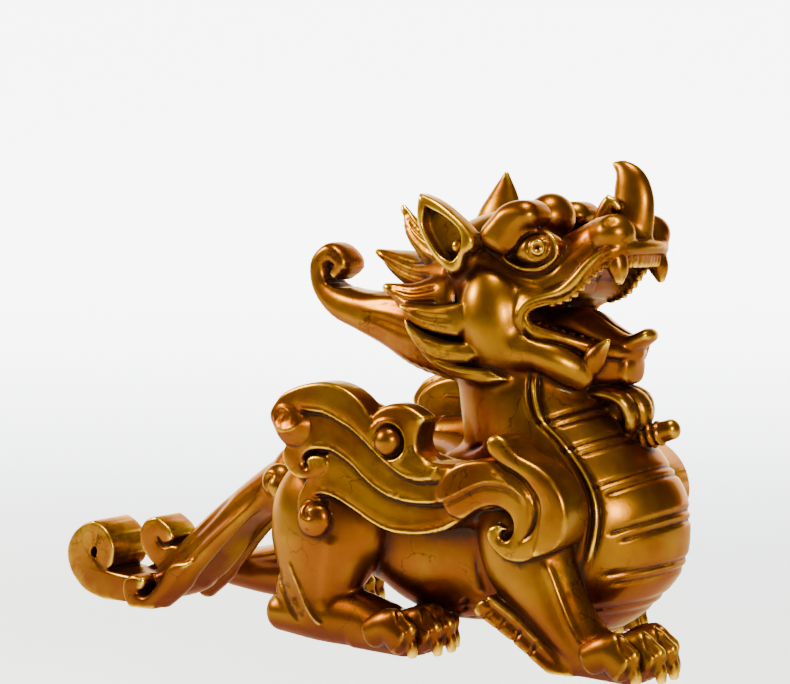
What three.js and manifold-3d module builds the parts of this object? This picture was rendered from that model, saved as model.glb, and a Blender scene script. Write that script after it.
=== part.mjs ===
// A prowling pixiu: a winged lion-dragon cast in one piece, head raised and mouth open.
// Millimetres, +Z up. The animal faces +X, its left side is +Y, and its paws and tail rest on Z = 0.
import * as THREE from 'three';
import { mergeVertices } from 'three/addons/utils/BufferGeometryUtils.js';
import Module from 'manifold-3d';

// Driving dimensions
const MIDDLE_X = -14.8;          // the animal is laid out about its chest, then centred on its box
const FLANK = -62;               // outer face of the right wing
const WING_RIM = 2.6;            // how far a band's edge stands out from the band's middle
const WING_LEAD = 9;             // how much further forward the left wing lies
const LEG_Y = -45;               // centre line of the right legs
const FRONT_STEP = -56;          // how far the left fore paw stands behind the right one
const HIND_STEP = -94;           // the same for the left hind paw
const LEFT_CURL_LAG = -14;       // how much further back the tail's left curl lies
const SHOULDER_TOP = 70;         // height above which a stepped leg stays where it is
const BELLY_BANDS = 5;           // grooves across the chest and throat
const BAND_START = 0.26;         // where the lowest one lies along the chest, from 0 to 1
const BAND_PITCH = 0.13;
const LOWER_BELLY = 0.13;        // a ring below the first groove, on the same scale
const CHEST_SIDES = 12;
const GROOVE_WIDTH = 0.045;      // as a share of the chest's length
const GROOVE_DEPTH = 1.8;
const EAR_HOLLOW = 0.65;         // size of an ear's hollow, as a share of the ear
const TOE_PLACES = [-15.5, -5.4, 5, 15];
const TOE_LAG = [8, 1, 0, 4];    // how far each toe ends behind the longest
const TOE_RADIUS = 6.6;
const TOE_BACK = 14;             // where a toe starts and ends, behind the paw's front
const TOE_FRONT = 4;

const ACROSS = new THREE.Vector3(0, 1, 0);
const FORWARD = new THREE.Vector3(1, 0, 0);

const library = await Module();
library.setup();

// Closed solid of a three.js geometry
function solid(geometry) {
  const bare = geometry.clone();
  bare.deleteAttribute('normal');
  bare.deleteAttribute('uv');
  const merged = mergeVertices(bare, 1e-4);
  return new library.Manifold(new library.Mesh({
    numProp: 3,
    vertProperties: new Float32Array(merged.attributes.position.array),
    triVerts: new Uint32Array(merged.index.array),
  }));
}

// Skin over rings that each have the same number of points, closed by a point at either end
function skin(rings, start, end) {
  const sides = rings[0].length;
  const points = [...rings.flat(), start, end];
  const index = [];
  for (let i = 0; i < rings.length - 1; i += 1) {
    for (let k = 0; k < sides; k += 1) {
      const a = i * sides + k;
      const b = i * sides + ((k + 1) % sides);
      index.push(a, b, b + sides, a, b + sides, a + sides);
    }
  }
  const [startIndex, endIndex] = [points.length - 2, points.length - 1];
  const lastRing = (rings.length - 1) * sides;
  for (let k = 0; k < sides; k += 1) {
    const next = (k + 1) % sides;
    index.push(startIndex, next, k);
    index.push(endIndex, lastRing + k, lastRing + next);
  }
  const geometry = new THREE.BufferGeometry();
  const coordinates = points.flatMap((point) => point.toArray());
  geometry.setAttribute('position', new THREE.Float32BufferAttribute(coordinates, 3));
  geometry.setIndex(index);
  return geometry;
}

// Points of an oval about `middle`, whose two half axes are the vectors u and v.
// A power over 2 squares it off.
function oval(middle, u, v, sides, power = 2) {
  const squared = (value) => Math.sign(value) * Math.abs(value) ** (2 / power);
  return Array.from({ length: sides }, (_, k) => {
    const angle = (2 * Math.PI * (k + 0.5)) / sides;
    return middle.clone()
      .addScaledVector(u, squared(Math.cos(angle)))
      .addScaledVector(v, squared(Math.sin(angle)));
  });
}

// A form swept along a smooth curve, with a low point at either end.
// A station is [x, y, z, half width along `across`, half height at right angles to it].
// `cap` is how far an end stands out, in half widths, and `round` gives the last end a shoulder.
// `rim` leans the section, so that the edge on the left of the path stands out from the flank.
function sweep(stations, { across = ACROSS, sides = 8, power = 2, cap = 0.8, round = true, rim = 0 } = {}) {
  const centre = new THREE.CatmullRomCurve3(stations.map(([x, y, z]) => new THREE.Vector3(x, y, z)));
  const spans = stations.length - 1;
  const ring = ([, , , halfWidth, halfHeight], t, along, scale) => {
    const tangent = centre.getTangent(t);
    const u = across.clone().addScaledVector(tangent, -across.dot(tangent)).normalize();
    const v = new THREE.Vector3().crossVectors(tangent, u);
    const middle = centre.getPoint(t).addScaledVector(tangent, along * Math.min(halfWidth, halfHeight));
    v.multiplyScalar(halfHeight * scale).addScaledVector(u, -rim);
    return oval(middle, u.multiplyScalar(halfWidth * scale), v, sides, power);
  };
  const rings = stations.map((station, i) => ring(station, i / spans, 0, 1));
  if (round) rings.push(ring(stations[spans], 1, cap * 0.7, 0.6));
  const beyond = ([, , , halfWidth, halfHeight], t, share) => centre.getPoint(t)
    .addScaledVector(centre.getTangent(t), share * cap * Math.min(halfWidth, halfHeight));
  return skin(rings, beyond(stations[0], 0, -0.5), beyond(stations[spans], 1, 1));
}

// A round lump with its own three half sizes, leaned by `lean` degrees about the Y axis
function lump(centre, radii, { sides = 8, lean = 0 } = {}) {
  return new THREE.SphereGeometry(1, sides, Math.ceil(sides / 2))
    .rotateX(Math.PI / 2)
    .scale(...radii)
    .rotateY(THREE.MathUtils.degToRad(lean))
    .translate(...centre);
}

// The same form on the animal's other side
function mirrored(geometry) {
  const other = geometry.clone().scale(1, -1, 1);
  const array = other.index.array;
  for (let i = 0; i < array.length; i += 3) [array[i + 1], array[i + 2]] = [array[i + 2], array[i + 1]];
  return other;
}

const both = (geometries) => geometries.flatMap((geometry) => [geometry, mirrored(geometry)]);

// Slides what is low on a limb by `distance` and leaves its top where it is.
// A higher `bend` keeps the shank upright and slides the foot.
function stepped(geometry, distance, bend) {
  const other = geometry.clone();
  const position = other.attributes.position;
  for (let i = 0; i < position.count; i += 1) {
    const share = THREE.MathUtils.smoothstep(SHOULDER_TOP - position.getZ(i), 0, SHOULDER_TOP * 0.8);
    position.setX(i, position.getX(i) + distance * share ** bend);
  }
  return other;
}

// Trunk from the rump to the shoulders
function trunk() {
  return sweep([
    [-52, 0, 71, 18, 14],
    [-34, 0, 68, 33, 28],
    [0, 0, 62.5, 40, 33.5],
    [20, 0, 58, 41, 36.5],
    [42, 0, 52, 42, 40.5],
    [82, 0, 56, 44, 42],
  ], { power: 2.5, round: false });
}

// Chest ball, throat and neck, with grooves across them.
// A row is [x and z of the front, x and z of the back, half width], from the belly to the throat.
function chest() {
  const rows = [
    [121, 13, 95, 8, 20],
    [136, 28, 74, 12, 35],
    [145, 41, 60, 20, 41],
    [147.5, 57, 54, 32, 44],
    [145.5, 73, 50, 48, 44],
    [137.5, 87, 48, 64, 42.5],
    [126, 101, 46, 82, 40],
    [111, 120, 42, 108, 35],
    [98, 145, 38, 142, 32],
  ];
  const front = new THREE.CatmullRomCurve3(rows.map(([x, z, , , width]) => new THREE.Vector3(x, width, z)));
  const back = new THREE.CatmullRomCurve3(rows.map(([, , x, z]) => new THREE.Vector3(x, 0, z)));
  const hoop = (t, depth) => {
    const [a, b] = [front.getPoint(t), back.getPoint(t)];
    const halfWidth = a.y;
    a.y = 0;
    const middle = a.clone().add(b).multiplyScalar(0.5);
    const forward = a.sub(middle);
    forward.setLength(forward.length() - depth);
    return oval(middle, ACROSS.clone().multiplyScalar(halfWidth - depth), forward, CHEST_SIDES);
  };
  const rings = [hoop(0, 0), hoop(LOWER_BELLY, 0)];
  for (let band = 0; band < BELLY_BANDS; band += 1) {
    const t = BAND_START + band * BAND_PITCH;
    rings.push(hoop(t, 0), hoop(t + GROOVE_WIDTH / 2, GROOVE_DEPTH), hoop(t + GROOVE_WIDTH, 0));
  }
  rings.push(hoop(1, 0));
  const [low, high] = [new THREE.Vector3(107, 0, 8), new THREE.Vector3(68, 0, 152)];
  return skin(rings.map((points) => points.reverse()), low, high);
}

// Raised edge that runs down each side of the chest
function chestEdge() {
  return sweep([
    [93, -34, 133, 2.5, 2.5],
    [94, -37, 116, 2.5, 3],
    [105, -40, 101, 2.5, 3],
    [116, -41, 84, 2.5, 3],
    [121, -40, 62, 2.5, 3],
    [119, -37, 40, 2.5, 2.5],
  ], { sides: 4, round: false });
}

// Cranium, cheeks, brows and the ball of each eye
function skull() {
  return [
    lump([64, 0, 168], [33, 33, 32]),
    sweep([[62, 0, 138, 32, 32], [76, 0, 158, 32, 29], [90, 0, 174, 26, 16]], { sides: 8, round: false }),
    lump([81.5, 0, 195], [10.5, 12, 12]),
    ...both([
      lump([70, -26, 151], [19, 19, 28], { lean: -8 }),
      sweep([[63, -31, 190, 9, 7], [77, -28, 194, 11, 10], [84, -22, 193, 8.5, 7.5]],
        { sides: 7, cap: 0.6 }),
      lump([92, -27, 183.5], [10, 8.5, 7.5]),
    ]),
  ];
}

// Upper jaw with the nostrils, the lip roll and the nose horn
function muzzle() {
  const lip = sweep([
    [92, -31, 149, 3, 3.5],
    [86, -33, 152.5, 3, 4],
    [88, -33, 158, 3, 4],
    [96, -31.5, 161, 3, 3.6],
    [108, -30, 165, 3, 3.6],
    [119, -27, 176.5, 3, 3.6],
    [129.5, -22, 181, 3.2, 3.6],
    [132.5, 0, 182.5, 3.2, 3.6],
  ], { sides: 4, power: 3, round: false });
  const horn = sweep([
    [122, 0, 188, 8, 13],
    [124, 0, 203, 6.5, 9.6],
    [122.5, 0, 213, 4.5, 6.2],
    [115, 0, 220, 1, 1.2],
  ], { sides: 6, cap: 0.5, round: false });
  const sideCurl = sweep([[112, -7, 188, 4, 4.5], [118, -8, 204, 2, 3]], { sides: 5, round: false });
  return [
    sweep([[84, 0, 162, 29, 22], [100, 0, 168, 29, 17], [116, 0, 176.5, 27, 13], [129, 0, 184, 21, 8]],
      { power: 3, cap: 0.3, round: false }),
    horn,
    ...both([lip, sideCurl, lump([124.5, -18.5, 188.5], [9.5, 9.5, 8.6])]),
  ];
}

// Lower jaw, jowls, tongue and lower fangs
function jaw() {
  const jowl = sweep([
    [73, -27, 139, 10, 12], [92, -30, 136, 7, 9], [105, -26, 130, 7, 8], [108, -22, 120, 6, 6],
  ], { sides: 6, round: false });
  const lip = sweep([
    [88, -33, 149, 3, 3.4], [96, -30, 144.5, 3, 3.6], [106, -25, 140.5, 3, 3.6], [117, -17, 137, 3, 3.4],
    [128, 0, 135, 3, 3.2],
  ], { sides: 4, power: 3, round: false });
  const tongue = sweep([
    [84, 0, 147, 17, 7], [100, 0, 148, 19, 7.5], [113, 0, 142.5, 15, 6], [124, 0, 139.5, 11, 4.4],
    [132.5, 0, 143.5, 7, 3],
  ], { sides: 6, cap: 1, round: false });
  return [
    sweep([[80, 0, 138, 30, 14], [98, 0, 134, 27, 11], [111, 0, 130, 20, 9.5], [122.5, 0, 128.5, 10, 7]],
      { power: 2.4, round: false }),
    tongue,
    ...both([jowl, lip]),
  ];
}

// The four long teeth, which cross the open mouth
function fangs() {
  const rows = [
    [[125.5, -20.5, 180, 5, 5], [127, -21, 172, 4.2, 4.2], [128, -21.5, 167, 1.5, 1.5]],
    [[113, -18, 132, 4.6, 4.6], [116, -17, 136, 4, 4], [120, -17, 142, 1, 1]],
  ];
  return both(rows.map((stations) => sweep(stations, { sides: 5, cap: 0.6, round: false })));
}

// The open mouth between the lip rolls
function mouth() {
  return sweep([
    [84, 0, 152, 38, 2.5],
    [93, 0, 152, 36, 6],
    [102, 0, 151.5, 34, 8.5],
    [110, 0, 152.5, 32, 12.5],
    [117, 0, 155.5, 31, 17.5],
    [124, 0, 157.5, 31, 21],
    [150, 0, 160, 34, 22],
  ], { power: 3.5, round: false });
}

// A pointed ear on the side of the head, its stations running from base to tip
const RIGHT_EAR = [
  [57, -30, 170, 7, 5], [52, -33, 181, 12, 6.5], [47, -36, 194, 11, 5.5], [38, -37, 207, 1, 1],
];
const LEFT_EAR = [
  [44, 22, 176, 14, 9], [38, 33, 193, 13, 6.5], [39, 36, 205, 8.5, 5], [40, 37, 218, 1, 1],
];
const ear = (stations) => sweep(stations, { across: FORWARD, sides: 6, cap: 0.4, round: false });

function earHollow(stations) {
  const side = Math.sign(stations[0][1]);
  const inner = stations.slice(0, 3).map(([x, y, z, width, thickness]) => (
    [x + 2, y + side * thickness * 0.8, z, width * EAR_HOLLOW, thickness * EAR_HOLLOW]
  ));
  return sweep(inner, { across: FORWARD, sides: 6, cap: 1, round: false });
}

// Three crescent fins behind each cheek
function fins() {
  const rows = [
    [[64, -31, 148, 6, 8], [47, -37, 150, 4.5, 7], [35, -39, 152.5, 3, 4.5], [25, -40, 157, 1, 1]],
    [[66, -32, 132, 8, 9], [50, -37, 138, 4.5, 6], [37, -39, 143, 3, 4.5], [27, -40, 153, 1, 1]],
    [[76, -32, 125, 5, 5], [60, -36, 125, 4.5, 5], [47, -38, 129, 3, 4], [36, -39, 138, 1, 1]],
  ];
  return rows.map((stations) => sweep(stations, { sides: 4, power: 3, round: false }));
}

// Hair: the long lock that ends in a scroll, and the tufts over it
function mane() {
  const lock = sweep([
    [52, 0, 146, 30, 30],
    [26, 0, 144, 25, 20.5],
    [6, 0, 148, 19, 15],
    [-13, 0, 151.5, 15, 10],
    [-28, 0, 156, 12, 8],
    [-38, 0, 164.5, 10, 5.6],
    [-39, 0, 174.5, 10, 5],
    [-32.5, 0, 179.5, 10, 5],
    [-26.5, 0, 172.5, 10, 5.5],
  ], { sides: 7, power: 2.6, cap: 1, round: false });
  return [
    lock,
    sweep([[42, 0, 168, 28, 18], [22, 0, 169.5, 20, 11], [6, 0, 174, 12, 7], [-9.5, 0, 180, 2, 1.5]],
      { sides: 7, round: false }),
    ...both([
      sweep([[42, -12, 178, 12, 14], [28, -12, 182.5, 8, 8], [17, -11, 191, 5, 5], [11, -10, 201, 1.5, 1.5]],
        { sides: 6, round: false }),
      sweep([[44, -22, 158, 12, 14], [28, -26, 158, 8, 9], [12, -27, 164, 2, 2]],
        { sides: 6, round: false }),
    ]),
  ];
}

// Beard: strands from under the chin that gather into a ringed knob on the chest
function beard() {
  const strand = (y, reach) => sweep([
    [102, y * 0.7, 115, 5.5, 3.5],
    [114, y * 1.1, 118, 5.5, 3.5],
    [124 + reach, y * 1.1, 115, 5.5, 3.5],
    [127 + reach, y * 0.8, 107, 5, 3.2],
    [123, y * 0.3, 97, 3, 3],
  ], { sides: 5, round: false });
  return [
    strand(0, 4),
    ...both([strand(-9, 1)]),
    sweep([[120, 0, 95, 6, 6], [130, 0, 98, 5, 5], [134, 0, 99, 6.2, 6.2], [138, 0, 100.5, 5, 5],
      [144, 0, 102.5, 4.6, 4.6]], { sides: 6 }),
  ];
}

// One band of the wing, its middle `depth` inside the flank's outer face
const wingBand = (rows, depth, halfWidth) => sweep(
  rows.map(([x, z, halfHeight]) => [x, FLANK + depth, z, halfWidth, halfHeight]),
  { sides: 4, power: 3.2, cap: 0.6, rim: WING_RIM, round: false },
);

// Wing: three S-shaped bands that curl up at the rear, with a rounded crest between them and the neck
function wing() {
  const top = [
    [88, 84, 5], [66, 83, 6], [48, 85, 7], [34, 91.5, 8.5], [19, 101, 9], [2, 109.5, 9.5],
    [-14, 111, 10.5], [-21.5, 102, 10],
  ];
  const middle = [
    [88, 78, 5], [60, 74, 6], [34, 80, 8], [18, 90.5, 8.5], [2, 96, 7.5], [-11, 92, 6.8],
    [-16, 83, 6], [-8, 77, 5.5],
  ];
  const low = [
    [88, 72, 5.5], [60, 65, 7.5], [30, 66.5, 9.5], [12, 73.5, 8], [-4, 70.5, 5.6], [-10, 63, 5.4],
    [-3, 57, 5],
  ];
  const crest = [[53, 84, 8], [45, 96, 11], [37.5, 109, 12]];
  return [
    wingBand(top, 7, 8.5),
    wingBand(middle, 8.5, 8),
    wingBand(low, 10, 8),
    wingBand(crest, 9, 6),
    lump([35, FLANK + 1, 97], [6.5, 6, 6.5], { sides: 7 }),
    sweep([[-8, -46, 84, 10, 16], [20, -46, 82, 10, 19], [60, -46, 73, 12, 14], [104, -44, 70, 13, 20]],
      { sides: 6, round: false }),
  ];
}

// Scroll and long curl that lie over the shoulder, where the wing springs
function shoulder() {
  const finger = [[88, 98, 3.6], [98, 91, 5.4], [110, 82, 6.6], [116, 70, 7.8], [111, 57, 6]];
  const scroll = [[68, 70, 5.5], [84, 75.5, 5.5], [97, 72, 5.5], [101, 61, 5.2], [91, 54, 5]];
  return [wingBand(scroll, 7, 9), wingBand(finger, 8, 9)];
}

// A paw of four round toes, resting flat, between the X of its heel and of its front
function paw(heel, front) {
  return [
    sweep([[heel - 6, LEG_Y, 6, 11, 9], [front - TOE_BACK - 3, LEG_Y, 8, 18, 12]], { round: false }),
    ...TOE_PLACES.map((offset, i) => sweep([
      [front - TOE_BACK - TOE_LAG[i], LEG_Y + offset, 12, TOE_RADIUS, 10],
      [front - TOE_FRONT - TOE_LAG[i], LEG_Y + offset * 1.05, 5, TOE_RADIUS * 0.9, 8.5],
    ], { sides: 5, cap: 0.6, round: false })),
  ];
}

function foreLeg() {
  return [
    sweep([
      [94, -42, 74, 14, 24],
      [95, LEG_Y, 54, 14, 22],
      [101, LEG_Y, 38, 13, 20],
      [112, LEG_Y, 23, 12, 16],
      [126, LEG_Y, 11, 13, 12],
      [136, LEG_Y, 8, 14, 9],
    ], { power: 2.2, round: false }),
    sweep([[78, -50, 32, 6, 5], [91, -52, 21, 6, 6], [105, -52, 9, 6, 6.5], [119, -51, 2, 6, 5]],
      { sides: 5, round: false }),
    ...paw(128, 165),
  ];
}

// Crouching hind leg, its heel a little clear of the ground
function hindLeg() {
  return [
    lump([-9, -41, 56], [31, 19, 32]),
    sweep([[-12, LEG_Y, 48, 13, 26], [-13, LEG_Y, 30, 12, 22], [-19, LEG_Y, 18, 11, 19]], { round: false }),
    sweep([
      [24, LEG_Y, 11, 13, 10], [10, LEG_Y, 12, 12, 13], [-12, LEG_Y, 12, 12, 12], [-33, LEG_Y, 12, 10, 9.5],
    ]),
    ...paw(18, 56),
  ];
}

// Tail: a broad ridged ribbon that comes down to the ground and ends in scrolls
function tail() {
  const ribbon = [
    [-40, 0, 75, 22, 17], [-68, 0, 63.5, 18, 13], [-86.5, 0, 50.5, 17, 11.5], [-99, 0, 37.5, 16.5, 14.5],
    [-119, 0, 19.5, 15, 14.5], [-136, 0, 10, 15, 10], [-152, 0, 4, 14, 8],
  ];
  const endScroll = [
    [-140, 0, 5, 15, 9], [-157, 0, 4, 15, 10.5], [-175, 0, 7, 15, 9.5], [-186, 0, 20, 15, 9.5],
    [-182, 0, 32, 15, 8.5], [-171, 0, 33, 15, 7.5], [-166, 0, 25, 15, 5.5],
  ];
  const upperScroll = [
    [-122, 0, 18, 12, 8], [-137, 0, 24.5, 12, 8], [-146.5, 0, 33, 12, 8], [-138, 0, 38.5, 12, 6.5],
    [-133, 0, 33, 12, 4],
  ];
  const sideCurl = sweep([
    [-110, -14, 15, 4, 6], [-124, -23, 6, 6, 6], [-138, -30, 6, 7, 6], [-138, -30, 14, 6, 4.5],
  ], { sides: 6, round: false });
  const flat = { sides: 6, power: 3, cap: 0.15, round: false };
  return [
    sweep(ribbon, { power: 1.8, round: false }),
    sweep(endScroll, flat),
    sweep(upperScroll, flat),
    sideCurl,
    mirrored(sideCurl).translate(LEFT_CURL_LAG, 0, 0),
    ...both([lump([-49, -27, 68], [8, 8, 9], { sides: 7 })]),
  ];
}

// All forms joined, the mouth and ears hollowed, the soles cut flat
function animal() {
  const leftFore = foreLeg().map((geometry) => mirrored(stepped(geometry, FRONT_STEP, 1)));
  const leftHind = hindLeg().map((geometry) => mirrored(stepped(geometry, HIND_STEP, 3)));
  const leftWing = wing().map((geometry) => mirrored(geometry).translate(WING_LEAD, 0, 0));
  const ears = [RIGHT_EAR, LEFT_EAR];
  const body = [
    trunk(), chest(), ...both([chestEdge()]), ...jaw(), ...mane(), ...both(fins()), ...beard(),
    ...wing(), ...leftWing, ...both(shoulder()), ...foreLeg(), ...leftFore, ...hindLeg(), ...leftHind,
    ...tail(), ...ears.map(ear), ...fangs(),
  ];
  const head = library.Manifold.union([...skull(), ...muzzle()].map(solid)).subtract(solid(mouth()));
  const whole = library.Manifold.union([head, ...body.map(solid)]);
  const ground = new THREE.BoxGeometry(600, 400, 60).translate(0, 0, -30);
  const cutters = [...ears.map(earHollow), ground];
  return cutters.reduce((solidLeft, cutter) => solidLeft.subtract(solid(cutter)), whole);
}

function toGeometry(manifold) {
  const mesh = manifold.getMesh();
  const geometry = new THREE.BufferGeometry();
  geometry.setAttribute('position', new THREE.Float32BufferAttribute(mesh.vertProperties, 3));
  geometry.setIndex(new THREE.Uint32BufferAttribute(mesh.triVerts, 1));
  return geometry;
}

const brass = new THREE.MeshStandardMaterial({ color: 0xa8782a, roughness: 0.32, metalness: 0.9 });
const pixiu = new THREE.Mesh(toGeometry(animal()), brass);
pixiu.name = 'pixiu';
pixiu.position.set(-MIDDLE_X, 0, 0);

const figure = new THREE.Group();
figure.add(pixiu);

export default figure;
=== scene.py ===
"""The finished look of a cast pixiu, a winged lion-dragon, in lacquered antique brass.

The animal is modelled as clay: rounded forms run into one another, and the carving is scored into them.
Forms are laid out in millimetres about the chest, +X forward, +Y the animal's left and +Z up, and most
are given for the right side only. In the fields of the sub-assemblies an egg is its centre and its three
half sizes, a sweep is rows of x, y, z and two half sizes, and an outline or a line is rows of x and z.
"""
import logging
import math
from abc import ABC, abstractmethod
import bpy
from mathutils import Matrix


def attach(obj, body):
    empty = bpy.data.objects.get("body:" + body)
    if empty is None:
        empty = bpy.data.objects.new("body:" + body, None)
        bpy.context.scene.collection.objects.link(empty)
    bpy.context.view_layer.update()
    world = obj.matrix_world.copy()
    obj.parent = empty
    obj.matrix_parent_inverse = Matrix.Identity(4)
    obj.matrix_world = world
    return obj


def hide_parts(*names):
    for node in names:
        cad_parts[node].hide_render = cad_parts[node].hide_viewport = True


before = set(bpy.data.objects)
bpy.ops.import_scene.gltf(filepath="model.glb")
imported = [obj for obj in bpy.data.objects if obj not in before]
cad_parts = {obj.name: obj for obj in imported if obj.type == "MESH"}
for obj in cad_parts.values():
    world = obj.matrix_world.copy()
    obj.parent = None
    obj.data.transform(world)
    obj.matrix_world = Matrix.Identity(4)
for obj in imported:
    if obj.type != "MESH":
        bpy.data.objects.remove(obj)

from concurrent.futures import ThreadPoolExecutor
from dataclasses import dataclass
from enum import Enum
from typing import Sequence

import bpy
import numpy as np
from mathutils import Vector

logging.basicConfig(level=logging.INFO, format="%(message)s")
log = logging.getLogger("pixiu")

Array = np.ndarray
Row = Sequence[float]
Rows = Sequence[Row]

MIDDLE_X = -14.8          # the layout's X at the middle of the whole animal
MILLIMETRE = 0.001
FLANK = -62.0             # outer face of the right wing
LEG_Y = -45.0             # centre line of the right legs
SHOULDER_TOP = 70.0       # height above which a stepped leg stays where it is
TINY = 1e-6
FAR = 40.0                # a distance that no blend reaches across
ACROSS = (0.0, 1.0, 0.0)
FORWARD = (1.0, 0.0, 0.0)
THREADS = 4
GROUND = ((-260, 0, -40, 200, 40), (240, 0, -40, 200, 40))  # the solid ground, cut away below Z = 0
GROUND_BLEND = 0.6


def smooth_curve(rows: Rows, count: int) -> Array:
    """Points along a centripetal Catmull-Rom curve.

    Args:
        rows: Rows of numbers that start with x, y and z. Any further numbers are carried along.
        count: How many points to return.

    Returns:
        An array of count rows.
    """
    given = np.asarray(rows, float)
    if len(given) == 2:
        share = np.linspace(0, 1, count)[:, None]
        return given[0] * (1 - share) + given[1] * share
    chords = np.maximum(np.linalg.norm(np.diff(given[:, :3], axis=0), axis=1), TINY) ** 0.5
    inner = np.concatenate([[0], np.cumsum(chords)])
    points = np.vstack([2 * given[0] - given[1], given, 2 * given[-1] - given[-2]])
    knots = np.concatenate([[inner[0] - chords[0]], inner, [inner[-1] + chords[-1]]])
    curve = []
    for t in np.linspace(inner[0], inner[-1], count):
        span = min(max(int(np.searchsorted(inner, t, side="right")) - 1, 0), len(given) - 2)
        k = knots[span:span + 4]
        level = list(points[span:span + 4])
        for order in (1, 2):
            level = [
                ((k[i + order] - t) * level[i] + (t - k[i]) * level[i + 1]) / (k[i + order] - k[i])
                for i in range(4 - order)
            ]
        curve.append(((k[2] - t) * level[0] + (t - k[1]) * level[1]) / (k[2] - k[1]))
    return np.array(curve)


def at_y(y: float, *places: Row) -> list[Row]:
    """Rows of x, y and z from places given as x and z."""
    return [(x, y, z) for x, z in places]


def path_length(rows: Rows) -> float:
    """Length of the broken line through the rows' first three numbers."""
    return float(np.linalg.norm(np.diff(np.asarray(rows, float)[:, :3], axis=0), axis=1).sum())


def implicit_distance(terms: Sequence[tuple[Array, Array | float]], power: int) -> Array:
    """Approximate distance to the shape where the sum of |offset / half size| ** power is 1.

    Args:
        terms: Pairs of an offset from the centre and the half size along it.
        power: 2 for an ellipse or ellipsoid, more for a squarer shape.

    Returns:
        Distances, negative inside.
    """
    total: Array | float = 0.0
    steep: Array | float = 0.0
    for offset, half in terms:
        share = np.abs(offset) / half
        lower = share ** (power - 1)
        total = total + lower * share
        steep = steep + (lower / half) ** 2
    level = np.maximum(total, TINY) ** (1 / power)
    slope = level ** (1 - power) * np.sqrt(steep) + TINY
    return (level - 1) / slope


class Form(ABC):
    """A solid form with a distance that is negative inside."""

    low: Array
    high: Array

    @abstractmethod
    def distance(self, points: Array) -> Array:
        """Distance of each point from the form's surface."""


@dataclass
class Egg(Form):
    """An ellipsoid.

    Attributes:
        centre: Its middle.
        radii: Its three half sizes.
        lean: Degrees that it turns about the Y axis.
    """

    centre: Row
    radii: Row
    lean: float = 0.0

    def __post_init__(self) -> None:
        """Works out the axes and the box."""
        cos, sin = math.cos(math.radians(self.lean)), math.sin(math.radians(self.lean))
        self.axes = np.array([[cos, 0, sin], [0, 1, 0], [-sin, 0, cos]])
        reach = np.sqrt(((self.axes * np.array(self.radii)) ** 2).sum(1))
        self.low, self.high = np.array(self.centre) - reach, np.array(self.centre) + reach

    def distance(self, points: Array) -> Array:
        """Distance of each point from the egg."""
        own = (points - np.array(self.centre, np.float32)) @ self.axes.astype(np.float32)
        return implicit_distance([(own[:, i], self.radii[i]) for i in range(3)], 2)


@dataclass(frozen=True)
class Flute:
    """A line along a sweep.

    Attributes:
        angle: Its place round the section in degrees, from the side that `across` points to.
        depth: How deep it is cut, or how far it stands out if negative.
        width: Half its width.
        start: Where it starts, as a share of the sweep's length.
        stop: Where it ends.
    """

    angle: float
    depth: float
    width: float
    start: float = 0.0
    stop: float = 1.0


FLUTE_FADE = 0.08         # share of a sweep's length over which a flute's ends fade
THINNEST = 0.3            # least half size of a sweep's section
SWEEP_POINTS = (7, 90)    # least and most sections that are worked out
SWEEP_SPARE = 10.0        # how far outside a sweep its distance is still worked out


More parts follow.
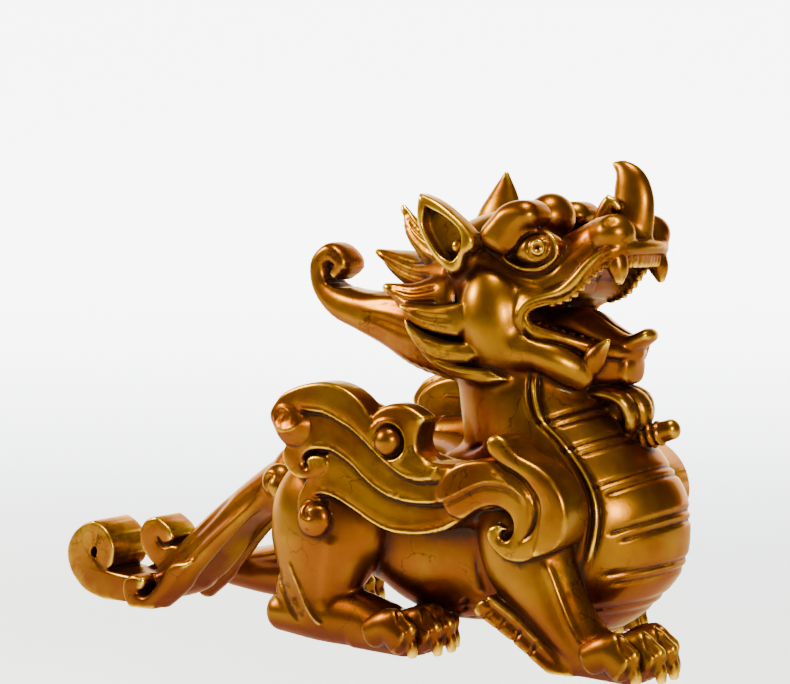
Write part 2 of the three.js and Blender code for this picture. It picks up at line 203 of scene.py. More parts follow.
@dataclass
class Sweep(Form):
    """A section carried along a smooth curve.

    Attributes:
        rows: Rows of x, y, z, half width along `across`, half height at right angles to it.
        across: The direction of the section's width.
        power: 2 for an oval section, more for a squarer one.
        nose: How far an end stands out, in half widths.
        flutes: Lines along it.
        spacing: Distance between the sections that are worked out.
    """

    rows: Rows
    across: Row = ACROSS
    power: int = 2
    nose: float = 0.8
    flutes: Sequence[Flute] = ()
    spacing: float = 3.0

    def __post_init__(self) -> None:
        """Works out the sections, their directions and the box."""
        count = int(np.clip(path_length(self.rows) / self.spacing, *SWEEP_POINTS))
        curve = smooth_curve(self.rows, count).astype(np.float32)
        self.path = curve[:, :3]
        self.half = np.maximum(curve[:, 3:5], THINNEST)
        along = np.gradient(self.path, axis=0)
        along /= np.linalg.norm(along, axis=1, keepdims=True)
        high = np.cross(along, np.array(self.across, np.float32))
        high /= np.linalg.norm(high, axis=1, keepdims=True)
        self.frames = np.stack([np.cross(high, along), high, along], axis=1).astype(np.float32)
        self.reach = self.half.max(1)
        self.low = (self.path - self.reach[:, None]).min(0)
        self.high = (self.path + self.reach[:, None]).max(0)

    def near(self, low: Array, high: Array, spare: float) -> Array:
        """Numbers of the stretches whose section reaches a box, with some to spare.

        Args:
            low: Lowest corner of the box.
            high: Highest corner of the box.
            spare: How far outside the box a section may still lie.

        Returns:
            Numbers of stretches.
        """
        ends = np.stack([self.path[:-1], self.path[1:]])
        reach = np.maximum(self.reach[:-1], self.reach[1:])[:, None] + spare
        met = np.all((ends.min(0) - reach <= high) & (ends.max(0) + reach >= low), axis=1)
        return np.flatnonzero(met)

    def distance(self, points: Array) -> Array:
        """Distance of each point from the sweep.

        Args:
            points: Places, each as x, y and z.

        Returns:
            Distances, negative inside.
        """
        chosen = self.near(points.min(0), points.max(0), SWEEP_SPARE)
        if not len(chosen):
            return np.full(len(points), FAR, np.float32)
        start = self.path[chosen]
        step = self.path[chosen + 1] - start
        offset = points[:, None, :] - start
        share = np.einsum("nmk,mk->nm", offset, step) / np.einsum("mk,mk->m", step, step)
        share = np.clip(share, 0, 1)
        offset -= share[..., None] * step
        best = np.einsum("nmk,nmk->nm", offset, offset).argmin(1)
        every = np.arange(len(points))
        share, index = share[every, best], chosen[best]
        blend = share[:, None]
        half = self.half[index] * (1 - blend) + self.half[index + 1] * blend
        axes = self.frames[index] * (1 - blend[..., None]) + self.frames[index + 1] * blend[..., None]
        own = np.einsum("nk,nmk->nm", offset[every, best], axes)
        a, b = half[:, 0], half[:, 1]
        x, y = own[:, 0], own[:, 1]
        terms = [(x, a), (y, b)]
        last = len(self.path) - 2
        past = ((index == 0) & (share <= 0)) | ((index == last) & (share >= 1))
        if past.any():
            terms.append((np.where(past, own[:, 2], 0), np.minimum(a, b) * self.nose))
        found = implicit_distance(terms, self.power)
        if self.flutes:
            place = (index + share) / (last + 1)
            found = found + self.fluting(np.arctan2(y / b, x / a), place, a, b)
        return found

    def fluting(self, angle: Array, place: Array, a: Array, b: Array) -> Array:
        """Depth of the flutes at points that lie at that angle and place.

        Args:
            angle: Angle of each point around the path.
            place: How far along the path each point lies.
            a: Half width of the section.
            b: Half height of the section.

        Returns:
            One depth for each point.
        """
        depth = np.zeros(len(angle), np.float32)
        for flute in self.flutes:
            own = math.radians(flute.angle)
            turn = (angle - own + math.pi) % (2 * math.pi) - math.pi
            offset = turn * np.hypot(a * math.sin(own), b * math.cos(own))
            fade = np.clip((place - flute.start) / FLUTE_FADE, 0, 1)
            fade = fade * np.clip((flute.stop - place) / FLUTE_FADE, 0, 1)
            depth += flute.depth * fade * np.exp(-((offset / flute.width) ** 2))
        return depth


GROOVE_FADE = 3.0         # how far a chest groove takes to fade at its ends


@dataclass
class Barrel(Form):
    """A belly given by its front and its back, and cut by pairs of grooves in leaning planes.

    Attributes:
        rows: Rows of front x and z, back x and z, and half width, from bottom to top.
        grooves: Rows of the x and z of a groove's front and how much it rises forward.
        pitch: Distance between the two grooves of a pair.
        depth: How deep a groove is.
        width: Half a groove's width.
        stops: How far from the middle plane each groove of a pair ends.
        hoops: How many hoops are worked out.
    """

    rows: Rows
    grooves: Rows
    pitch: float
    depth: float
    width: float
    stops: Row
    hoops: int = 70

    def __post_init__(self) -> None:
        """Works out the hoops and the box."""
        rows = np.asarray(self.rows, float)
        front = np.column_stack([rows[:, 0], rows[:, 4], rows[:, 1]])
        padded = np.column_stack([front, rows[:, 2:4]])
        curve = smooth_curve(padded, self.hoops)
        self.front = curve[:, [0, 2]]
        self.back = curve[:, [3, 4]]
        self.wide = curve[:, 1]
        every = np.vstack([self.front, self.back])
        self.low = np.array([every[:, 0].min(), -self.wide.max(), every[:, 1].min()])
        self.high = np.array([every[:, 0].max(), self.wide.max(), every[:, 1].max()])

    def distance(self, points: Array) -> Array:
        """Distance of each point from the barrel.

        Args:
            points: Places, each as x, y and z.

        Returns:
            Distances, negative inside.
        """
        flat = points[:, [0, 2]]
        reach = self.front - self.back
        offset = flat[:, None, :] - self.back
        side = reach[:, 0] * offset[..., 1] - reach[:, 1] * offset[..., 0]
        side /= np.linalg.norm(reach, axis=1)
        below = np.clip((side > 0).sum(1) - 1, 0, self.hoops - 2)
        every = np.arange(len(points))
        lower, upper = side[every, below], side[every, below + 1]
        share = np.clip(lower / np.where(np.abs(lower - upper) < TINY, 1, lower - upper), 0, 1)
        mix = share[:, None]
        front = self.front[below] * (1 - mix) + self.front[below + 1] * mix
        back = self.back[below] * (1 - mix) + self.back[below + 1] * mix
        wide = self.wide[below] * (1 - share) + self.wide[below + 1] * share
        middle, half = (front + back) / 2, np.linalg.norm(front - back, axis=1) / 2
        own = ((flat - middle) * (front - back)).sum(1) / (2 * half)
        past = np.maximum(-side[:, 0], side[:, -1])
        terms = [(own, half), (points[:, 1], wide)]
        found = implicit_distance(terms, 2)
        found = np.where(past > 0, np.hypot(np.maximum(found, 0), past) + np.minimum(found, 0), found)
        for x, z, rise in self.grooves:
            height = (points[:, 2] - z - rise * (points[:, 0] - x)) / math.hypot(1, rise)
            for line, stop in zip((0.0, -self.pitch), self.stops):
                fade = np.clip((stop - np.abs(points[:, 1])) / GROOVE_FADE, 0, 1)
                found = found + fade * self.depth * np.exp(-(((height - line) / self.width) ** 2))
        return found


DOME_REACH = 5.0          # how far from its edge a plate's dome rises


@dataclass
class Plate(Form):
    """A slab with a drawn outline, parallel to the animal's middle plane.

    Attributes:
        outline: Smooth runs of x and z that meet at corners.
        outer: Y of its outer face.
        inner: Y of its inner face.
        rounding: Radius of its edges.
        dome: How much further out its middle stands.
        spacing: Distance between the points of the outline that are worked out.
    """

    outline: Sequence[Rows]
    outer: float
    inner: float
    rounding: float = 1.5
    dome: float = 0.0
    spacing: float = 2.0

    def __post_init__(self) -> None:
        """Works out the outline's points and the box."""
        points = []
        for run in self.outline:
            flat = [(x, 0, z) for x, z in run]
            count = int(max(2, path_length(flat) / self.spacing))
            points.append(smooth_curve(flat, count + 1)[:-1, [0, 2]])
        self.corners = np.concatenate(points).astype(np.float32)
        low, high = self.corners.min(0), self.corners.max(0)
        self.low = np.array([low[0], self.outer - self.dome, low[1]])
        self.high = np.array([high[0], self.inner + self.dome, high[1]])

    def outline_distance(self, flat: Array) -> Array:
        """Distance of x and z from the outline, negative inside.

        Args:
            flat: Places, each as x and z.

        Returns:
            One distance for each place.
        """
        start, end = self.corners, np.roll(self.corners, -1, axis=0)
        step = end - start
        offset = flat[:, None, :] - start
        share = np.clip((offset * step).sum(-1) / (step * step).sum(-1), 0, 1)
        gap = offset - share[..., None] * step
        nearest = np.sqrt((gap * gap).sum(-1).min(1))
        z, x = flat[:, None, 1], flat[:, None, 0]
        crosses = (start[:, 1] > z) != (end[:, 1] > z)
        rise = np.where(np.abs(step[:, 1]) < TINY, TINY, step[:, 1])
        left = x < start[:, 0] + (z - start[:, 1]) * step[:, 0] / rise
        inside = (crosses & left).sum(1) % 2 == 1
        return np.where(inside, -nearest, nearest)

    def distance(self, points: Array) -> Array:
        """Distance of each point from the plate.

        Args:
            points: Places, each as x, y and z.

        Returns:
            Distances, negative inside.
        """
        edge = self.outline_distance(points[:, [0, 2]])
        half = (self.inner - self.outer) / 2
        face = np.abs(points[:, 1] - self.outer - half) - half
        if self.dome:
            face = face - self.dome * (1 - np.exp(np.minimum(edge, 0) / DOME_REACH))
        edge, face = edge + self.rounding, face + self.rounding
        outside = np.hypot(np.maximum(edge, 0), np.maximum(face, 0))
        return outside + np.minimum(np.maximum(edge, face), 0) - self.rounding


class Mark(Enum):
    """A kind of carved line."""

    GROOVE = "groove"
    RIDGE = "ridge"
    LAP = "lap"


SIGHT = (-0.53, 0.85, -0.05)      # the direction in which the photograph looks
SLACK = 0.25                      # how much of a distance along the view counts
STEP_WIDTH = 0.4                  # half the width of the step at the edge of a lap
FOOT_SHARE = 0.3                  # depth of the small groove at the foot of that step, beside its height
FOOT_PLACE = 1.1                  # how far that groove lies outside the edge
FOOT_WIDTH = 0.9                  # half its width
STROKE_MARGIN = 4.0               # how far past its points a line's box reaches


@dataclass
class Stroke:
    """A line carved along a path on the surface.

    Attributes:
        path: Points on the surface, with the line's relative strength as a fourth number.
        view: The direction in which it was laid on. Distances along it count less.
        mark: A groove, a ridge, or a lap, the edge of a layer on the path's left, seen from outside.
        depth: Its depth or height.
        width: Half its width, or how far back from its edge a lap's layer sinks away.
    """

    path: Array
    view: Array
    mark: Mark
    depth: float
    width: float

    def __post_init__(self) -> None:
        """Works out the flattened path and the box."""
        path = self.path[:, :3]
        self.low, self.high = path.min(0) - STROKE_MARGIN, path.max(0) + STROKE_MARGIN
        self.squash = (np.eye(3) - (1 - SLACK) * np.outer(self.view, self.view)).astype(np.float32)
        self.flat = (path @ self.squash).astype(np.float32)
        self.strength = self.path[:, 3].astype(np.float32)
        left = np.cross(-self.view, np.diff(self.flat, axis=0))
        self.left = (left / (np.linalg.norm(left, axis=1, keepdims=True) + TINY)).astype(np.float32)

    def relief(self, points: Array) -> Array:
        """Depth of the line at each point, negative where it stands out.

        Args:
            points: Places, each as x, y and z.

        Returns:
            One depth for each point.
        """
        start = self.flat[:-1]
        step = self.flat[1:] - start
        offset = (points @ self.squash)[:, None, :] - start
        share = np.einsum("nmk,mk->nm", offset, step) / (np.einsum("mk,mk->m", step, step) + TINY)
        share = np.clip(share, 0, 1)
        offset -= share[..., None] * step
        gap = np.einsum("nmk,nmk->nm", offset, offset)
        best = gap.argmin(1)
        every = np.arange(len(points))
        share, gap = share[every, best], gap[every, best]
        depth = self.depth * (self.strength[best] * (1 - share) + self.strength[best + 1] * share)
        if self.mark is not Mark.LAP:
            sign = 1 if self.mark is Mark.GROOVE else -1
            return sign * depth * np.exp(-gap / self.width ** 2)
        side = (offset[every, best] * self.left[best]).sum(1)
        place = np.copysign(np.sqrt(gap), side)
        step_up = 1 + np.exp(-np.clip(place / STEP_WIDTH, -30, 30))
        layer = np.exp(-np.maximum(place, 0) / self.width) / step_up
        return depth * (FOOT_SHARE * np.exp(-((place + FOOT_PLACE) / FOOT_WIDTH) ** 2) - layer)


class Side(Enum):
    """The side of the animal on which a form that is given for the right side stands."""

    AS_GIVEN = "as given"
    BOTH = "both"
    LEFT = "left"


@dataclass(frozen=True)
class Stance:
    """Where a form stands.

    Attributes:
        side: On which side.
        forward: How far what is low on it slides forward.
        bend: How late the slide starts, from the shoulder down, or 0 where all of it slides.
    """

    side: Side = Side.AS_GIVEN
    forward: float = 0.0
    bend: float = 0.0

    def planted(self) -> "Stance":
        """The same step without the bend, for a foot flat on the ground."""
        return Stance(self.side, self.forward)

    def to_form(self, points: Array) -> tuple[Array, Array | float]:
        """The points in the form's own place, and how much shorter distances are there.

        Args:
            points: Places, each as x, y and z.

        Returns:
            The places, and the factor for distances.
        """
        if self.side is Side.AS_GIVEN:
            return points, 1.0
        own = points.copy()
        own[:, 1] = -np.abs(own[:, 1]) if self.side is Side.BOTH else -own[:, 1]
        if not self.forward:
            return own, 1.0
        if not self.bend:
            own[:, 0] -= self.forward
            return own, 1.0
        span = SHOULDER_TOP * 0.8
        t = np.clip((SHOULDER_TOP - own[:, 2]) / span, 0, 1)
        share = t * t * (3 - 2 * t)
        own[:, 0] -= self.forward * share ** self.bend
        steep = self.forward * self.bend * share ** (self.bend - 1) * 6 * t * (1 - t) / span
        return own, 1 / np.sqrt(1 + steep * steep)


AS_GIVEN = Stance()
BOTH = Stance(Side.BOTH)


class Action(Enum):
    """What a step does to the clay."""

    ADD = "add"
    CUT = "cut"
    SCORE = "score"


LINE_REACH = 2.6          # how far a carved line reaches, in half widths
FORM_REACH = 7.0          # how far outside its blend a form is still worked out


@dataclass
class Step:
    """One step of the modelling.

    Attributes:
        action: What is done.
        form: What it is done with.
        blend: Over what distance a form runs into the rest.
        stance: Where the form stands.
    """

    action: Action
    form: Form | Stroke
    blend: float
    stance: Stance

    def reaches(self, low: Array, high: Array) -> bool:
        """Whether the step changes anything in a box."""
        spare = self.form.width * LINE_REACH if isinstance(self.form, Stroke) else self.blend + FORM_REACH
        return bool(np.all(self.form.low - spare <= high) and np.all(self.form.high + spare >= low))

    def apply(self, own: Array, scale: Array | float, found: Array) -> Array:
        """The clay's distances after the step.

        Args:
            own: The points, in the form's own place.
            scale: How much shorter distances are there.
            found: The clay's distances before the step.

        Returns:
            The new distances.
        """
        if self.action is Action.SCORE:
            return found + self.form.relief(own)
        mine = self.form.distance(own) * scale
        if self.action is Action.CUT:
            mine = -mine
            overlap = np.maximum(self.blend - np.abs(found - mine), 0)
            return np.maximum(found, mine) + overlap * overlap / (4 * self.blend)
        overlap = np.maximum(self.blend - np.abs(found - mine), 0)
        return np.minimum(found, mine) - overlap * overlap / (4 * self.blend)


LAY_STEPS = 18            # steps of the march that lays a line on the surface
LAY_START = 12.0          # how far outside its given place the march starts
LAY_STRIDE = (-3.0, 6.0)  # furthest that a step of it goes back and forth
LAY_SHARE = 0.9           # share of the distance found that a step takes
LINE_SPACING = 1.8        # distance between the points of a carved line
LINE_POINTS = (3, 70)     # least and most of them


class Clay:
    """Steps of modelling, and the surface that they leave."""

    def __init__(self) -> None:
        """Starts with no clay."""
        self.steps: list[Step] = []

    def add(self, form: Form, blend: float = 2.0, stance: Stance = AS_GIVEN) -> None:
        """Adds a form, run into the rest over `blend`."""
        self.steps.append(Step(Action.ADD, form, blend, stance))

    def cut(self, form: Form, blend: float = 1.5, stance: Stance = AS_GIVEN) -> None:
        """Takes a form away."""
        self.steps.append(Step(Action.CUT, form, blend, stance))

    def score(self, mark: Mark, rows: Rows, depth: float, width: float, view: Row = SIGHT,
              stance: Stance = AS_GIVEN, taper: float = 0.12) -> None:
        """Lays a line on the surface and carves it.

        Args:
            mark: The kind of line.
            rows: Rows of x, y and z. They are moved along `view` onto the surface.
            depth: Its depth or height.
            width: Half its width, or the reach of a lap.
            view: The direction from outside to inside.
            stance: Where it stands. It is laid on at its given place.
            taper: Share of its length over which each end fades.
        """
        direction = np.array(view, float) / np.linalg.norm(view)
        count = int(np.clip(path_length(rows) / LINE_SPACING, *LINE_POINTS))
        path = self.lay(smooth_curve(rows, count)[:, :3], direction)
        strength = np.ones(count)
        if taper:
            place = np.linspace(0, 1, count)
            strength = np.clip(np.minimum(place, 1 - place) / taper + 0.1, 0, 1)
        stroke = Stroke(np.column_stack([path, strength]), direction, mark, depth, width)
        self.steps.append(Step(Action.SCORE, stroke, 0, stance))

    def lay(self, path: Array, direction: Array) -> Array:
        """The points of a path, moved along a direction onto the surface.

        Args:
            path: Points of the line.
            direction: Which way they are moved.

        Returns:
            The moved points.
        """
        reach = np.full(len(path), -LAY_START)
        for _ in range(LAY_STEPS):
            found = self.evaluate((path + reach[:, None] * direction).astype(np.float32))
            reach = reach + np.clip(found, *LAY_STRIDE) * LAY_SHARE
            reach = np.clip(reach, -2 * LAY_START, 2 * LAY_START)
        return path + reach[:, None] * direction

    def evaluate(self, points: Array) -> Array:
        """Distance of each point from the clay's surface.

        Args:
            points: Places, each as x, y and z.

        Returns:
            Distances, negative inside.
        """
        found = np.full(len(points), FAR, np.float32)
        places: dict[Stance, tuple] = {}
        for step in self.steps:
            if step.stance not in places:
                own, scale = step.stance.to_form(points)
                places[step.stance] = (own, scale, own.min(0), own.max(0))
            own, scale, low, high = places[step.stance]
            if step.reaches(low, high):
                found = step.apply(own, scale, found).astype(np.float32)
        return found


@dataclass
class Field:
    """Distances on a grid, and the surface where they are zero.

    Attributes:
        clay: What is measured.
        low: Lowest corner of the grid.
        high: Highest corner.
        voxel: Distance between neighbouring points of the grid.
        coarse: How many of them make the side of a cell that is worked out or skipped as one.
        block: How many cells make the side of a block that is worked out at once.
        rough_block: The same for the first, rough round.
        close: How near to the surface a cell's middle is for its points to be worked out, in cells.
    """

    clay: Clay
    low: Row
    high: Row
    voxel: float
    coarse: int = 5
    block: int = 5
    rough_block: int = 8
    close: float = 1.7

    def __post_init__(self) -> None:
        """Works the grid out."""
        self.origin = np.array(self.low, np.float32)
        size = self.voxel * self.coarse
        cells = np.ceil((np.array(self.high) - self.origin) / size).astype(int)
        rough = self.rough(cells, size)
        self.values = np.repeat(np.repeat(np.repeat(rough, self.coarse, 0), self.coarse, 1), self.coarse, 2)
        near = np.abs(rough) < size * self.close
        jobs = []
        for i in range(0, cells[0], self.block):
            for j in range(0, cells[1], self.block):
                for k in range(0, cells[2], self.block):
                    part = near[i:i + self.block, j:j + self.block, k:k + self.block]
                    if part.any():
                        jobs.append(np.argwhere(part) + (i, j, k))
        steps = np.arange(self.coarse) * self.voxel
        self.inner = np.stack(np.meshgrid(steps, steps, steps, indexing="ij"), -1).reshape(-1, 3)
        with ThreadPoolExecutor(THREADS) as pool:
            list(pool.map(self.fill, jobs))

    def rough(self, cells: Array, size: float) -> Array:
        """Distances at the middles of the coarse cells.

        Args:
            cells: Numbers of the coarse cells.
            size: Edge of a coarse cell.

        Returns:
            One distance for each cell.
        """
        found = np.zeros(cells, np.float32)
        span = self.rough_block

        def work(corner: tuple[int, int, int]) -> None:
            """Works out one block of cells."""
            top = np.minimum(np.array(corner) + span, cells)
            index = np.stack(np.meshgrid(*[np.arange(a, b) for a, b in zip(corner, top)], indexing="ij"), -1)
            points = (self.origin + (index.reshape(-1, 3) + 0.5) * size).astype(np.float32)
            part = tuple(slice(a, b) for a, b in zip(corner, top))
            found[part] = self.clay.evaluate(points).reshape(index.shape[:3])

        corners = [(i, j, k) for i in range(0, cells[0], span) for j in range(0, cells[1], span)
                   for k in range(0, cells[2], span)]
        with ThreadPoolExecutor(THREADS) as pool:
            list(pool.map(work, corners))
        return found

    def fill(self, cells: Array) -> None:
        """Works out every grid point of the given coarse cells.

        Args:
            cells: Numbers of the coarse cells.
        """
        size = self.voxel * self.coarse
        points = (self.origin + cells[:, None, :] * size + self.inner).astype(np.float32).reshape(-1, 3)
        found = self.clay.evaluate(points).reshape(-1, self.coarse, self.coarse, self.coarse)
        for (i, j, k), value in zip(cells * self.coarse, found):
            self.values[i:i + self.coarse, j:j + self.coarse, k:k + self.coarse] = value

    def surface(self) -> tuple[Array, Array]:
        """Vertices and four-sided faces of the surface, one vertex to each grid cell that it crosses.

        Returns:
            Vertices, and the faces as rows of four numbers.
        """
        inside = self.values < 0
        size = np.array(inside.shape) - 1
        corners = [(i, j, k) for i in (0, 1) for j in (0, 1) for k in (0, 1)]

        def corner_of(array: Array, corner: Row) -> Array:
            """The array's values at one corner of every cell."""
            return array[tuple(slice(c, c + n) for c, n in zip(corner, size))]

        first = corner_of(inside, (0, 0, 0))
        mixed = np.zeros(first.shape, bool)
        for corner in corners[1:]:
            mixed |= corner_of(inside, corner) != first
        cells = np.argwhere(mixed)
        number = np.full(mixed.shape, -1, np.int32)
        number[mixed] = np.arange(len(cells))
        value = {c: self.values[tuple((cells + c).T)] for c in corners}
        total, count = np.zeros((len(cells), 3), np.float32), np.zeros(len(cells), np.float32)
        for axis in range(3):
            for corner in [c for c in corners if not c[axis]]:
                other = tuple(1 if i == axis else c for i, c in enumerate(corner))
                a, b = value[corner], value[other]
                crossed = (a < 0) != (b < 0)
                point = np.tile(np.array(corner, np.float32), (len(cells), 1))
                point[:, axis] = np.where(crossed, a / np.where(crossed, a - b, 1), 0)
                total += point * crossed[:, None]
                count += crossed
        vertices = self.origin + (cells + total / count[:, None]) * self.voxel
        return vertices, np.concatenate([self.faces(inside, number, axis) for axis in range(3)])

    @staticmethod
    def faces(inside: Array, number: Array, axis: int) -> Array:
        """The faces that cross the grid's edges along one axis.

        Args:
            inside: Which grid points lie in the clay.
            number: Number of the vertex in each grid cell.
            axis: The axis, from 0 to 2.

        Returns:
            Rows of four vertex numbers.
        """
        next_axis, last_axis = (axis + 1) % 3, (axis + 2) % 3
        lower, upper = [slice(1, -1)] * 3, [slice(1, -1)] * 3
        lower[axis], upper[axis] = slice(0, -1), slice(1, None)
        a, b = inside[tuple(lower)], inside[tuple(upper)]
        found = []
        for leaving, crossed in ((True, a & ~b), (False, ~a & b)):
            edges = np.argwhere(crossed) + [0 if i == axis else 1 for i in range(3)]
            ring = []
            for d_next, d_last in ((0, 0), (-1, 0), (-1, -1), (0, -1)):
                cell = edges.copy()
                cell[:, next_axis] += d_next
                cell[:, last_axis] += d_last
                ring.append(number[tuple(cell.T)])
            face = np.stack(ring, 1)
            found.append(face if leaving else face[:, ::-1])
        return np.concatenate(found)

    def look_up(self, array: Array, points: Array, step: float) -> Array:
        """Values between the points of a grid that starts at this one's origin.

        Args:
            array: Values on the grid.
            points: Places, each as x, y and z.
            step: Distance between grid points.

        Returns:
            One value for each point.
        """
        place = np.clip((points - self.origin) / step, 0, np.array(array.shape) - 1.001)
        base = place.astype(int)
        share = place - base
        found = np.zeros(len(points), np.float32)
        for corner in [(i, j, k) for i in (0, 1) for j in (0, 1) for k in (0, 1)]:
            weight = np.prod([share[:, n] if c else 1 - share[:, n] for n, c in enumerate(corner)], axis=0)
            found += weight * array[tuple((base + corner).T)]
        return found

    def slope(self, points: Array) -> Array:
        """Unit vectors out of the surface.

        Args:
            points: Places, each as x, y and z.

        Returns:
            One unit vector for each point.
        """
        reach = self.voxel * 0.9
        columns = []
        for axis in range(3):
            shift = np.zeros(3)
            shift[axis] = reach
            ahead = self.look_up(self.values, points + shift, self.voxel)
            columns.append(ahead - self.look_up(self.values, points - shift, self.voxel))
        found = np.column_stack(columns)
        return found / (np.linalg.norm(found, axis=1, keepdims=True) + TINY)

    def settle(self, points: Array) -> Array:
        """The points, moved onto the surface.

        Args:
            points: Places, each as x, y and z.

        Returns:
            The moved points.
        """
        for _ in range(2):
            away = np.clip(self.look_up(self.values, points, self.voxel), -self.voxel, self.voxel)
            points = points - away[:, None] * self.slope(points)
        return points

    def relief(self, points: Array, reach: float, stride: int) -> Array:
        """How far the surface stands out or lies back within a reach.

        Args:
            points: Points on the surface.
            reach: Half the side of the cube that is looked at.
            stride: Every how many grid points the grid is read.

        Returns:
            Positive on ridges and edges, negative in hollows, about -1 to 1.
        """
        step = self.voxel * stride
        array = np.clip(self.values[::stride, ::stride, ::stride] / reach, -1, 1)
        half = max(1, round(reach / step / 1.5))
        for axis in (0, 1, 2):
            for _ in range(2):
                padded = np.pad(array, [(half + 1, half) if i == axis else (0, 0) for i in range(3)], "edge")
                summed = np.cumsum(padded, axis=axis, dtype=np.float32)
                top = np.take(summed, np.arange(2 * half + 1, summed.shape[axis]), axis=axis)
                bottom = np.take(summed, np.arange(0, summed.shape[axis] - 2 * half - 1), axis=axis)
                array = (top - bottom) / (2 * half + 1)
        return self.look_up(array, points, step)


@dataclass
class Body:
    """Trunk, chest ball and neck."""

    trunk: Rows = (
        (-52, 0, 71, 18, 14), (-34, 0, 68, 33, 28), (0, 0, 62.5, 40, 33.5), (20, 0, 58, 41, 36.5),
        (42, 0, 52, 42, 40.5), (82, 0, 56, 44, 42),
    )
    chest: Rows = (
        (107, 8, 101, 7, 6), (121, 13, 95, 8, 20), (137, 27, 74, 12, 35), (147, 41, 60, 20, 41),
        (149.5, 57, 54, 32, 44), (147.5, 73, 50, 48, 44), (138.5, 87, 48, 64, 42.5), (126, 101, 46, 82, 40),
        (111, 120, 42, 108, 35), (98, 145, 38, 142, 32),
    )
    grooves: Rows = (
        (136, 27, 0.12), (151.6, 45.2, 0.17), (152.4, 67.8, 0.37), (144.6, 87.5, 0.41), (132, 103.8, 0.42),
        (113, 112.4, 0.4),
    )
    edge: Rows = (
        (97, 130), (96.5, 117), (99.7, 107.3), (108.7, 98.8), (114.8, 92.3), (120.6, 84.5), (124.5, 76.6),
        (126.1, 68), (125.1, 58.5), (121.2, 43),
    )
    edge_lines: Sequence[tuple] = (
        (0.0, Mark.RIDGE, 1.6, 1.4), (-2.6, Mark.GROOVE, 1.5, 0.9), (2.4, Mark.GROOVE, 1.4, 0.9),
        (-5.0, Mark.RIDGE, 0.7, 1.2),
    )

    def model(self, clay: Clay) -> None:
        """Adds the body and carves the double edge that runs down each side of the chest.

        Args:
            clay: The modelled animal.
        """
        clay.add(Sweep(self.trunk, power=3), 2)
        clay.add(Barrel(self.chest, self.grooves, pitch=4.3, depth=1.2, width=1.15, stops=(36.0, 33.0)), 5)
        for offset, mark, depth, width in self.edge_lines:
            line = [(x + offset, -38, z) for x, z in self.edge]
            clay.score(mark, line, depth, width, stance=BOTH)


